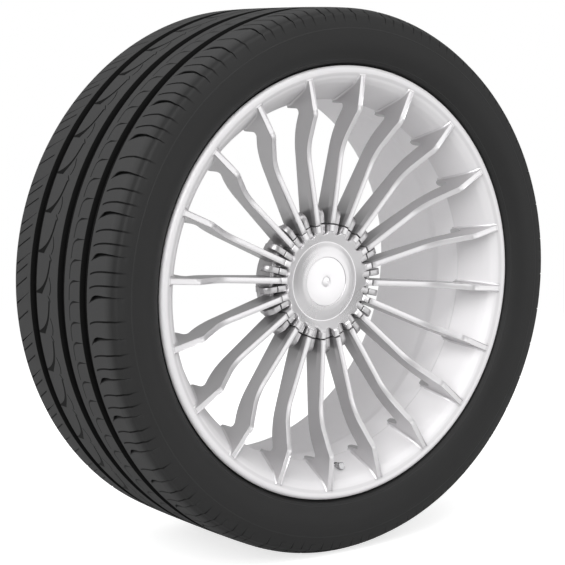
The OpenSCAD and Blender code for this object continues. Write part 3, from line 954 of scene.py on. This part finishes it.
        # painted shade on the flat sides, painted highlights on the front edges and the fillet at the rim
        shade_and_highlight = np.ones(side.shape[:2])
        shade_and_highlight[:, :2] = -0.7
        shade_and_highlight[-6:] = np.array([0.6, -0.5, -0.8, -0.4, 0.0, 0.0])[:, None]
        one = np.concatenate([shade_and_highlight, shade_and_highlight[:, ::-1]], axis=1).ravel()
        return np.tile(np.concatenate([one, [1.0, 1.0]]), self.blade_count)

    def _stubs(self, draft: Draft) -> None:
        """Adds the fins between the blades: level at the joint, then a quarter circle down."""
        turn = np.radians(np.linspace(0, 90, 13))
        end, r = self.root_r + self.stub_length, self.stub_round
        arc = np.stack([end - r + r * np.sin(turn), self.stub_z - r + r * np.cos(turn)], axis=1)
        line = np.concatenate([[(self.root_r, self.stub_z - 0.4), (self.root_r + 0.4, self.stub_z)], arc])
        share = (line[:, 0] - self.root_r) / self.stub_length
        reach = self.root_r + share * (self.stub_length - r / 2)
        low = np.stack([reach, np.full(len(line), self.seat_z - 4)], axis=1)
        for k in range(self.blade_count):
            draft.bar(line, low, self.half, 0.7, self.phase + (k + 0.5) * TURN / self.blade_count)

    @staticmethod
    def _sector_edge(low: float = 41.0, high: float = 74.3, steps: int = 16) -> Array:
        """Draws the outline of a tenth of the hub's ring: an arc, a side, an arc and a side.

        Args:
            low: inner radius.
            high: outer radius.
            steps: number of points on each of the four.

        Returns:
            Points, one row each.
        """
        spread = math.pi / 10
        fan = np.linspace(-spread, spread, steps + 1)[:-1]
        side = np.linspace(high, low, steps + 1)[:-1]
        other = np.linspace(low, high, steps + 1)[:-1]
        radius = np.concatenate([np.full(steps, high), side, np.full(steps, low), other])
        angle = np.concatenate([fan, np.full(steps, spread), -fan, np.full(steps, -spread)])
        return np.stack([radius * np.cos(angle), radius * np.sin(angle)], axis=1)

    def _hub(self, draft: Draft) -> None:
        """Adds the drum, the centring ring and ten sectors, with bolt holes and relief pockets in turn."""
        drum = [(74.1, 31, 0), (75, 30, 0.8), (76, 31, 0.5), (79.6, 40, 4), (79.6, 66, 1.2), (74.1, 66, 0.8)]
        draft.revolve(rounded(drum, 4, closed=True), 180)
        ring = [(36.3, 44, 0.6), (36.3, 30, 0.8), (42, 30, 0), (42, 43, 0), (42, 44, 0)]
        draft.revolve(rounded(ring, 3, closed=True), 120)
        edge, pad_z = self._sector_edge(), 30.0
        bolt = [(12.8, self.seat_z), (12.5, self.seat_z - 0.4), (7.5, 46.0), (7.5, pad_z + 0.4), (7.9, pad_z)]
        pocket = [(11.4, pad_z), (11.0, pad_z + 0.4), (11.0, 38.0), (10.0, 39.0)]
        for k in range(10):
            through = k % 2 == 0
            centre, circles = (60.0, bolt) if through else (58.0, pocket)
            towards = np.arctan2(edge[:, 1], edge[:, 0] - centre)
            unit = np.stack([np.cos(towards), np.sin(towards)], axis=1)
            flats = [(edge, pad_z), (edge, self.seat_z)] if through else [(edge, self.seat_z), (edge, pad_z)]
            flats += [(unit * r + [centre, 0.0], z) for r, z in circles]
            rings = levels(flats, math.pi / 2 + k * TURN / 10)
            if through:
                draft.torus(rings)
            else:
                draft.tube(rings)

    def build(self) -> None:
        """Builds and dresses the casting."""
        draft = Draft()
        draft.revolve(self._rim_profile(), 240)
        rim_points = len(draft.points[0])
        sides = self._blades(draft)
        self._stubs(draft)
        self._hub(draft)
        piece = draft.finish("cast_wheel", self.finish.material(), 38.0)
        mark(piece, "rim", np.arange(len(piece.data.vertices)) < rim_points)
        # the side mark carries the blades' painted shade and painted highlights
        shade_and_highlight = np.zeros(len(piece.data.vertices))
        shade_and_highlight[rim_points : rim_points + len(sides)] = sides
        mark(piece, "side", shade_and_highlight)
        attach(piece, "rim_and_tyre")
        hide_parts("wheel")


@dataclass
class Tyre:
    """The tyre: one skin with sidewalls, straight grooves and crescent cuts in its shoulders."""

    pattern: TyrePattern = field(default_factory=TyrePattern)
    crescent_width: float = 6.4
    crescent_depth: float = 4.2

    def _side(self) -> Array:
        """Draws the outside of the upper sidewall from the bead to the tread's edge."""
        low = np.radians(np.linspace(126, 90, 6))
        high = np.radians(np.linspace(84, 60, 5))
        foot = np.array([(257.3, 107.85), (268.2, 107.85), (273.4, 111.5), (275.3, 115.9)])
        belly = np.stack([304.0 + 41 * np.cos(low), 86.5 + 41 * np.sin(low)], axis=1)
        wall = np.stack([304.0 + 60 * np.cos(high), 67.5 + 60 * np.sin(high)], axis=1)
        edge = np.array([(336.6, 113.6), (339.4, 109.6)])
        last = [[self._crown(104.0), 104.0]]
        smooth = smooth_path(np.concatenate([foot[2:], belly, wall, edge, last]), 4)
        return np.concatenate([foot[:2], smooth])

    def _crown(self, z: float) -> float:
        """Gives the radius of the tread at a height, on a slight arch that drops faster at its edge."""
        share = abs(z) / 118.0
        return self.pattern.radius - self.pattern.crown_drop * (0.5 * share**2 + 0.5 * share**6)

    def _half(self, side: int) -> tuple[Array, Array]:
        """Draws one half of the outside, from the bead to the middle of the tread.

        Args:
            side: 1 for the outboard half, -1 for the inboard one.

        Returns:
            Section points, and each one's distance from the shoulder groove's
            edge, or a negative number where no crescent reaches.
        """
        pattern = self.pattern
        places = sorted((z * side for z in pattern.groove_places if z * side > 0), reverse=True)
        shoulder_foot = places[0] + pattern.groove_half
        outer = self._side()
        near_foot = [shoulder_foot + 2.5, shoulder_foot]
        top_z = np.concatenate([np.linspace(102.0, shoulder_foot + 5, 15), near_foot])
        top = np.stack([[self._crown(z) for z in top_z], top_z], axis=1)
        shoulder = np.concatenate([outer, top])
        steps = np.linalg.norm(np.diff(shoulder, axis=0), axis=1)
        from_edge = np.concatenate([np.cumsum(steps[::-1])[::-1], [0]])
        parts, reach = [shoulder], [from_edge]
        wide, floor, deep = pattern.groove_half, pattern.floor_half, pattern.groove_depth
        rows = [
            (wide - 0.5, 1.2), (floor + 0.5, deep - 0.9), (floor - 0.6, deep), (-floor + 0.6, deep),
            (-floor - 0.5, deep - 0.9), (-wide + 0.5, 1.2), (-wide, 0.0),
        ]
        for place in places:
            cut = np.array([(self._crown(place + dz) - depth, place + dz) for dz, depth in rows])
            parts.append(cut)
            reach.append(np.full(len(cut), -1.0))
            after = [z for z in places if z < place]
            end = after[0] + pattern.groove_half if after else None
            if end is not None:
                z = np.linspace(place - pattern.groove_half, end, 6)[1:]
                parts.append(np.stack([[self._crown(value) for value in z], z], axis=1))
                reach.append(np.full(len(z), -1.0))
        section, reach = np.concatenate(parts), np.concatenate(reach)
        section[:, 1] *= side
        return section, reach

    def _inside(self) -> Array:
        """Draws the inside from the inboard bead over the liner to the outboard bead."""
        half = np.array([
            (254.3, 104.95), (252.7, 89.45), (257.0, 87.45), (267.0, 93.95), (290.0, 112.5), (304.0, 116.0),
            (318.0, 113.5), (322.75, 106.0), (326.75, 92.0), (326.75, 30.0),
        ])
        return np.concatenate([half * [1, -1], half[::-1]])

    def build(self) -> None:
        """Builds the skin: rings of the section whose columns drift with the cuts, and dresses it.

        In each pitch four columns follow a crescent: its steep edge, the floor
        below it, the middle of its ramp and its shallow edge. Five more share
        out what is left of the pitch.
        """
        pattern = self.pattern
        upper, upper_reach = self._half(1)
        lower, lower_reach = self._half(-1)
        inside = self._inside()
        section = np.concatenate([upper, lower[::-1], inside])
        reach = np.concatenate([upper_reach, lower_reach[::-1], np.full(len(inside), -1.0)])
        outboard = np.arange(len(section)) < len(upper)
        q = np.clip((reach - 5.0) / 56.0, 0, 1)
        lead = np.where(q < 0.15, (q / 0.15) ** 0.8, (1 - (q - 0.15) / 0.85) ** 1.1 * 0.85 + 0.15)
        trail = (0.12 + 0.88 * np.clip(q / 0.85, 0, 1) ** 1.2) * np.clip((1 - q) / 0.1, 0, 1)
        cut = np.where(outboard, lead, trail) * ((reach > 5.0) & (reach < np.where(outboard, 61.0, 42.0)))
        width = np.maximum(cut * np.where(outboard, self.crescent_width, 3.6), 0.9)
        depth = cut * self.crescent_depth
        run = np.where(reach < 0, 0, reach)
        drift = np.where(
            outboard, 11.0 * (1 - np.exp(-np.maximum(run - 5.0, 0) / 8.0)), -0.51 * np.minimum(run, 46.0)
        )
        count = len(inside)
        drift[-count:] = np.linspace(drift[len(section) - count - 1], drift[0], count)
        columns = np.stack([width / 2, width / 2 - 0.28, -width * 0.1, -width / 2], axis=1)[:, ::-1]
        rest = np.linspace(0, 1, 7)[1:-1]
        others = columns[:, 3:] + rest[None] * (pattern.pitch - width)[:, None]
        place = np.concatenate([columns, others], axis=1)
        level = np.zeros((len(section), 6))
        down = np.concatenate([level[:, :1], depth[:, None] * [[0.5, 1.0]], level], axis=1)
        ahead = np.roll(section, -1, axis=0) - np.roll(section, 1, axis=0)
        normal = np.stack([ahead[:, 1], -ahead[:, 0]], axis=1)
        normal /= np.linalg.norm(ahead, axis=1, keepdims=True)
        crown = (section[:, 0] > 300) & (depth > 0)
        normal = np.where(crown[:, None], normal * np.sign(normal[:, :1] + 1e-9), 0)
        starts = np.arange(pattern.pitches) * pattern.pitch
        s = (starts[None, :, None] + place[:, None, :] + drift[:, None, None]).reshape(len(section), -1)
        down = np.tile(down, (1, pattern.pitches))
        rings = polar(
            section[:, None, 0] - down * normal[:, :1], -s / pattern.radius,
            section[:, None, 1] - down * normal[:, 1:],
        )
        draft = Draft()
        draft.torus(rings)
        piece = draft.finish("tyre_skin", TyreRubber("tyre rubber", pattern).material(), 40.0)
        mark(piece, "cut", down / self.crescent_depth)
        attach(piece, "rim_and_tyre")
        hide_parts("tyre")


@dataclass
class HubCover:
    """The toothed cover with its dish, claws and centre disc."""

    count: int = 20
    phase: float = math.radians(12.5)
    body_r: float = 64.0
    cover_r: float = 72.8
    valley_r: float = 50.0
    valley_z: float = 74.2
    dome_z: float = 78.2
    disc_r: float = 31.0
    seat_z: float = 75.6
    wall: float = 2.6
    floor_z: float = 57.5
    tooth_z: float = 81.4
    pad_z: float = 74.9
    half: float = 3.8
    pocket: tuple[float, float] = (66.0, 6.2)
    claw_r: float = 40.7
    foot_z: float = 45.5
    claws: int = 8
    finish: Lacquer = field(default_factory=lambda: CoverLacquer("cover silver", 0.73, 0.28, 0.8))
    disc_finish: Lacquer = field(default_factory=lambda: Lacquer("disc silver", 0.92, 0.34, 0.5, 0.4))

    def _body(self, draft: Draft) -> None:
        """Adds the body, whose wall steps in to the pocket circle in front of every pad.

        A ray at the angle d from a pocket's centre c meets its circle of radius
        r at c cos d - sqrt(r^2 - c^2 sin^2 d), and the wall stands there where
        that is less than the body's own radius.
        """
        centre, radius = self.pocket
        reach = math.acos((self.body_r**2 + centre**2 - radius**2) / (2 * self.body_r * centre))
        step_angle = math.pi / self.count
        inside = np.sin(np.linspace(-math.pi / 2, math.pi / 2, 13)) * reach
        outside = np.linspace(reach, 2 * step_angle - reach, 7)[1:-1]
        local = np.concatenate([inside, outside])
        starts = np.arange(self.count)[:, None] * 2 * step_angle
        angles = (starts + local[None]).ravel() + self.phase + step_angle
        gap = np.abs(np.concatenate([inside, np.full(len(outside), reach)]))
        half_chord = np.sqrt(np.maximum(radius**2 - (centre * np.sin(gap)) ** 2, 0))
        wall = np.tile(np.minimum(centre * np.cos(gap) - half_chord, self.body_r), self.count)
        rise = 0.46
        slope = lambda r: self.valley_z + 0.3 + (r - self.valley_r - 0.8) * rise
        drop = self.dome_z - self.valley_z
        start, r = self.valley_r + 4, self.disc_r
        dome = rounded([
            (r + 0.4, self.dome_z, 0), (r + 6, self.dome_z - drop * 0.14, 30),
            (r + 13, self.dome_z - drop * 0.5, 30), (self.valley_r, self.valley_z, 1.6),
            (start, float(slope(start)), 0),
        ], 6)
        top = np.concatenate([[(r + 0.1, self.seat_z), (r + 0.1, self.dome_z - 0.3)], dome])
        fixed = lambda rows: (np.repeat(rows[:, :1], len(wall), 1), np.repeat(rows[:, 1:], len(wall), 1))
        top_r, top_z = fixed(top)
        fillet = 1.9
        share = np.array([0.4, 1.0])[:, None]
        slope_r = start + share * (wall[None] - fillet - start)
        turn = np.radians([18, 38, 58, 78, 90])[:, None]
        edge_r = wall[None] - fillet + fillet * np.sin(turn)
        edge_z = slope(edge_r) - fillet * (1 - np.cos(turn))
        floor = self.floor_z + self.wall
        edge_r = np.concatenate([edge_r, [wall, wall + 0.5]])
        edge_z = np.concatenate([edge_z, [np.full_like(wall, floor + 0.5), np.full_like(wall, floor)]])
        cavity = self.pocket[0] - self.pocket[1] - self.wall
        under, bore = self.seat_z - self.wall, 6.05
        skirt = np.array([
            (self.cover_r - 0.4, floor), (self.cover_r, floor - 0.4), (self.cover_r, self.floor_z),
            (cavity, self.floor_z), (cavity, self.valley_z - 1), (self.valley_r, self.valley_z - self.wall),
            (r + 12, under), (bore, under), (bore, self.seat_z),
        ])
        low_r, low_z = fixed(skirt)
        radii = np.concatenate([top_r, slope_r, edge_r, low_r])
        heights = np.concatenate([top_z, slope(slope_r), edge_z, low_z])
        draft.torus(polar(radii, angles[None], heights))

    def _teeth(self, draft: Draft) -> None:
        """Adds the teeth that carry the blades on, and the lower pads between them."""
        top, pad_z, end = self.tooth_z, self.pad_z, self.cover_r
        foot = lambda line: np.stack([line[:, 0], np.full(len(line), self.floor_z + 1.0)], axis=1)
        tooth = np.array([
            (61.0, 77.4), (62.6, 79.3), (63.9, 80.9), (64.5, top), (68.0, top), (end - 0.8, top),
            (end - 0.25, top - 0.5),
        ])
        pad = np.array([(59.0, pad_z), (62.0, pad_z), (end - 0.7, pad_z), (end - 0.2, pad_z - 0.4)])
        for k in range(self.count):
            turn = self.phase + k * TURN / self.count
            draft.bar(tooth, foot(tooth), self.half, 0.6, turn)
            draft.bar(pad, foot(pad), self.half, 0.5, turn + math.pi / self.count)

    def _underside(self, draft: Draft) -> None:
        """Adds the lock's tube, the ring wall and its claws with their hooks."""
        tube = [
            (5.05, 58.9, 0.3), (9.05, 58.9, 0.8), (9.05, 74.0, 0), (6.05, 74.0, 0), (6.05, 68.6, 0),
            (5.05, 68.6, 0),
        ]
        draft.revolve(rounded(tube, 3, closed=True), 64)
        r, w = self.claw_r, 2.4
        ring = [(r - w, 55.0, 0.3), (r, 55.0, 0.3), (r, 74.1, 0), (r - w, 74.1, 0)]
        draft.revolve(rounded(ring, 2, closed=True), 96)
        foot_z = self.foot_z
        hook = np.array([
            (r - w, 56.0), (r, 56.0), (r, foot_z + 0.6), (r - 0.6, foot_z), (r - w - 0.6, foot_z),
            (r - w - 0.6, foot_z + 0.8), (r - w, foot_z + 0.8),
        ])
        half_gap = math.asin(3.0 / r)
        for k in range(self.claws):
            first, last = k * TURN / self.claws + half_gap, (k + 1) * TURN / self.claws - half_gap
            angles = np.linspace(first, last, 9)
            draft.tube(polar(hook[None, :, 0], angles[:, None], hook[None, :, 1]))

    def build(self) -> None:
        """Builds and dresses the cover and its centre disc."""
        draft = Draft()
        self._body(draft)
        self._teeth(draft)
        self._underside(draft)
        cover = draft.finish("toothed_cover", self.finish.material(), 34.0)
        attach(cover, "cover")
        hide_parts("hub_cover")
        plate = Draft()
        low, high = self.seat_z, self.seat_z + 2.2
        ring = [(6.25, low, 0), (self.disc_r, low, 0.2), (self.disc_r, high, 0.7), (7.6, high, 0.6),
                (7.2, high - 0.35, 0.1), (6.8, high, 0.3), (6.25, high, 0.25)]
        plate.revolve(rounded(ring, 4, closed=True), 128)
        disc = plate.finish("centre_plate", self.disc_finish.material(), 40.0)
        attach(disc, "cover")
        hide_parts("centre_disc")


@dataclass
class Lock:
    """The lock barrel with its key slot; the cam and the screw keep their solids."""

    radius: float = 6.0
    low_z: float = 68.65
    top_z: float = 77.3
    slot: tuple[float, float, float] = (3.0, 0.6, 0.6)

    def build(self) -> None:
        """Builds the barrel as rings that turn from circles into the slot's outline."""
        angles = np.linspace(0, TURN, 48, endpoint=False)
        circle = np.stack([np.cos(angles), np.sin(angles)], axis=1)
        length, half, depth = self.slot
        box = np.clip(circle * 3 * length, [-length, -half], [length, half])
        r, top = self.radius, self.top_z
        rounds = [
            (4, 56.25), (4, 58.65), (5, 58.7), (5, self.low_z), (r, self.low_z), (r, top - 0.5),
            (r - 0.15, top - 0.15), (r - 0.5, top),
        ]
        flats = [(circle * size, z) for size, z in rounds]
        flats += [(box * 1.05, top), (box, top - 0.1), (box, top - depth)]
        draft = Draft()
        draft.tube(levels(flats, 0.0))
        piece = draft.finish("lock_face", Machined("lock plating", (0.9, 0.89, 0.9), 0.3).material(), 35.0)
        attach(piece, "lock")
        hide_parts("lock_barrel")


@dataclass
class TyreValve:
    """The valve: a threaded stem and a knurled cap on a line that tilts towards the axis."""

    angle: float = math.radians(-87.0)
    radius: float = 238.5
    height: float = 87.66
    tilt: float = math.radians(15.0)
    stem_r: float = 4.0
    top: float = 7.0

    def _rings(self, profile: Array, ridges: Array | float = 0.0, count: int = 48) -> Array:
        """Turns radii and heights along the valve's own line into rings of points.

        The line leans by the tilt t, so a ring's own x and height h go to
        x cos t - h sin t outwards and x sin t + h cos t upwards.

        Args:
            profile: radius and height of each ring.
            ridges: share by which every second group of points is drawn in.
            count: points in a ring.

        Returns:
            Points shaped (rings, count, 3).
        """
        around = np.arange(count) * TURN / count
        knurl = 1.0 - np.atleast_1d(ridges)[:, None] * (np.arange(count) % 4 >= 2)
        r = profile[:, :1] * knurl
        x, y, h = r * np.cos(around), r * np.sin(around), profile[:, 1:]
        c, s = math.cos(self.tilt), math.sin(self.tilt)
        return planar(self.radius + x * c - h * s, y, self.height + x * s + h * c, self.angle)

    def build(self) -> None:
        """Builds and dresses the stem and the cap."""
        stem = Draft()
        r, turns, deep = self.stem_r, 11, 0.32
        heights = np.arange(turns)[:, None] * 0.8 + np.array([0.0, 0.3, 0.5, 0.8])[None]
        thread = np.stack([np.tile([r, r - deep, r - deep, r], turns), heights.ravel() - 2.2], axis=1)
        foot = [(1.6, -24.0), (r, -24.0), (r, -21.0), (r + 2, -20.9), (r + 2, -19.2), (r, -19.1)]
        bore = [
            (r - 0.4, self.top), (1.95, self.top), (1.95, -9.0), (1.2, -9.1), (1.2, -19.0), (1.55, -19.1),
        ]
        stem.torus(self._rings(np.concatenate([foot, thread[:-1], bore])))
        alloy = Machined("valve alloy", (0.66, 0.66, 0.67), 0.3)
        piece = stem.finish("threaded_stem", alloy.material(), 30.0)
        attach(piece, "rim_and_tyre")
        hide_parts("valve_stem")
        cap = Draft()
        inner, wall = self.stem_r + 0.06, self.stem_r + 1.0
        profile = np.array([
            (0.12, 8.5), (wall - 2.4, 8.5), (wall - 0.9, 8.4), (wall - 0.3, 7.9), (wall, 7.4), (wall, 5.9),
            (wall, 5.6), (wall, -0.5), (wall, -0.8), (wall, -1.7), (wall - 0.3, -2.0), (inner, -2.0),
            (inner, 7.6), (0.1, 7.6),
        ])
        ridges = np.where(np.isin(np.arange(len(profile)), [6, 7]), 0.05, 0.0)
        cap.tube(self._rings(profile, ridges))
        chrome = Machined("cap chrome", (0.5, 0.5, 0.51), 0.16)
        piece = cap.finish("knurled_cap", chrome.material(), 30.0)
        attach(piece, "cap")
        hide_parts("valve_cap")


class InnerPart(Enum):
    """Finishes of the inner pieces that keep their solids."""

    WIRE = Machined("bead wire", (0.36, 0.31, 0.22), 0.35)
    STEEL = Machined("spring steel", (0.42, 0.42, 0.43), 0.3)
    BRASS = Machined("turned brass", (0.62, 0.45, 0.18), 0.25)
    SEAL = Moulded("seal rubber", 0.02, 0.7, 1400.0)
    HOUSING = Moulded("sensor plastic", 0.04, 0.5, 2200.0)


INNER_NODES = {
    "outboard_bead_wire": InnerPart.WIRE, "inboard_bead_wire": InnerPart.WIRE,
    "cover_spring": InnerPart.STEEL, "lock_cam": InnerPart.STEEL, "lock_screw": InnerPart.STEEL,
    "sensor_screw": InnerPart.STEEL, "valve_core": InnerPart.BRASS, "core_pin": InnerPart.BRASS,
    "valve_seal": InnerPart.SEAL, "cap_gasket": InnerPart.SEAL, "sensor_body": InnerPart.HOUSING,
}


def dress_inner_parts() -> None:
    """Gives the inner pieces that keep their solids their finishes."""
    made: dict[InnerPart, bpy.types.Material] = {}
    for name, part in INNER_NODES.items():
        if part not in made:
            made[part] = part.value.material()
        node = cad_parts[name]
        node.data.materials.clear()
        node.data.materials.append(made[part])
        log.info("%s: %s", name, part.value.name)


# Studio


@dataclass(frozen=True)
class Window:
    """A bright soft-edged part of the surroundings: its place and half sizes in degrees, and its gain."""

    azimuth: float
    elevation: float
    width: float
    height: float
    soft: float
    gain: float


@dataclass
class Studio:
    """Floor, backdrop, soft lights and the camera of the photograph."""

    azimuth: float = math.radians(-36.2)
    elevation: float = math.radians(7.6)
    distance: float = 2.330
    lens: float = 114.7
    shift: tuple[float, float] = (0.012, 0.009)
    ambient: float = 0.34
    windows: tuple[Window, ...] = (
        Window(40.0, -4.0, 8.0, 14.0, 19.0, 1.1), Window(76.0, 0.0, 20.0, 30.0, 30.0, 0.1),
        Window(36.0, 52.0, 50.0, 12.0, 26.0, 0.4), Window(-135.0, 0.0, 40.0, 30.0, 30.0, 0.18),
    )

    def _axes(self) -> tuple[Vector, Vector, Vector]:
        """Gives the camera's backward, right and upward directions."""
        a, e = self.azimuth, self.elevation
        back = Vector((math.sin(a) * math.cos(e), -math.cos(a) * math.cos(e), math.sin(e)))
        right = Vector((math.cos(a), math.sin(a), 0.0))
        return back, right, back.cross(right)

    def camera(self) -> None:
        """Places the camera where the photograph was taken from."""
        back, right, up = self._axes()
        data = bpy.data.cameras.new("camera")
        data.lens, data.sensor_width = self.lens, 36.0
        holder = bpy.data.objects.new("camera", data)
        aim = Vector((0.0, -0.0045, 0.0)) - right * self.shift[0] - up * self.shift[1]
        holder.location = aim + back * self.distance
        holder.rotation_euler = (-back).to_track_quat("-Z", "Y").to_euler()
        bpy.context.scene.collection.objects.link(holder)
        bpy.context.scene.camera = holder

    def _lamp(
        self, name: str, place: tuple[float, float, float], size: tuple[float, float], power: float
    ) -> None:
        """Adds a soft rectangular lamp that looks at the wheel."""
        data = bpy.data.lights.new(name, "AREA")
        data.shape, data.size, data.size_y, data.energy = "RECTANGLE", size[0], size[1], power
        lamp = bpy.data.objects.new(name, data)
        lamp.location = place
        lamp.rotation_euler = Vector(place).to_track_quat("Z", "Y").to_euler()
        bpy.context.scene.collection.objects.link(lamp)

    def _surroundings(self) -> None:
        """Makes the surroundings: a dim room with soft windows, and plain white behind the wheel."""
        sky = Sky("surroundings")
        x, y, up = sky.ray()
        turn = x.math("ARCTAN2", y * -1.0) * (180.0 / math.pi)
        rise = up.math("ARCSINE") * (180.0 / math.pi)
        level: Sock | float = self.ambient
        for window in self.windows:
            wide = (turn - window.azimuth).size().ramp(window.width + window.soft, window.width)
            high = (rise - window.elevation).size().ramp(window.height + window.soft, window.height)
            level = wide * high * window.gain + level
        seen = sky.node("ShaderNodeLightPath", {}, [], "Is Camera Ray")
        sky.put(sky.surface.inputs["Strength"], level * (1.0 - seen) + seen)
        sky.put(sky.surface.inputs["Color"], (1.0, 1.0, 1.0, 1.0))
        bpy.context.scene.world = sky.world

    def build(self) -> None:
        """Builds the floor, the pale surroundings, the lamps and the camera."""
        floor = bpy.data.meshes.new("floor")
        side, low = 30.0, -0.3436
        corners = [(-side, -side, low), (side, -side, low), (side, side, low), (-side, side, low)]
        floor.from_pydata(corners, [], [(0, 1, 2, 3)])
        paper = Shader("pale floor")
        fibres = paper.noise(3.0, 2.0)
        x, y, _ = paper.place()
        far = (x * x + y * y).power(0.5).ramp(0.8, 2.2)
        paper.set(Base_Color=paper.blend(fibres, grey(0.7), grey(0.74)), Roughness=0.9)
        seen = paper.node("ShaderNodeLightPath", {}, [], "Is Camera Ray")
        paper.set(Emission_Color=(1.0, 1.0, 1.0, 1.0), Emission_Strength=seen * 0.72, Alpha=1.0 - far)
        floor.materials.append(paper.material)
        ground = bpy.data.objects.new("floor", floor)
        bpy.context.scene.collection.objects.link(ground)
        self._surroundings()
        self._lamp("window left", (-3.2, -2.4, 2.2), (4.2, 3.8), 165.0)
        self._lamp("overhead", (0.3, -0.8, 3.2), (2.6, 2.6), 30.0)
        self.camera()


def main() -> None:
    """Builds every sub-assembly and the studio round them."""
    logging.basicConfig(level=logging.INFO, format="%(message)s")
    for part in (CastWheel(), Tyre(), HubCover(), Lock(), TyreValve()):
        log.info("building %s", type(part).__name__)
        part.build()
    dress_inner_parts()
    Studio().build()
    bpy.context.scene.view_settings.view_transform = "Standard"


if __name__ == "__main__":
    main()
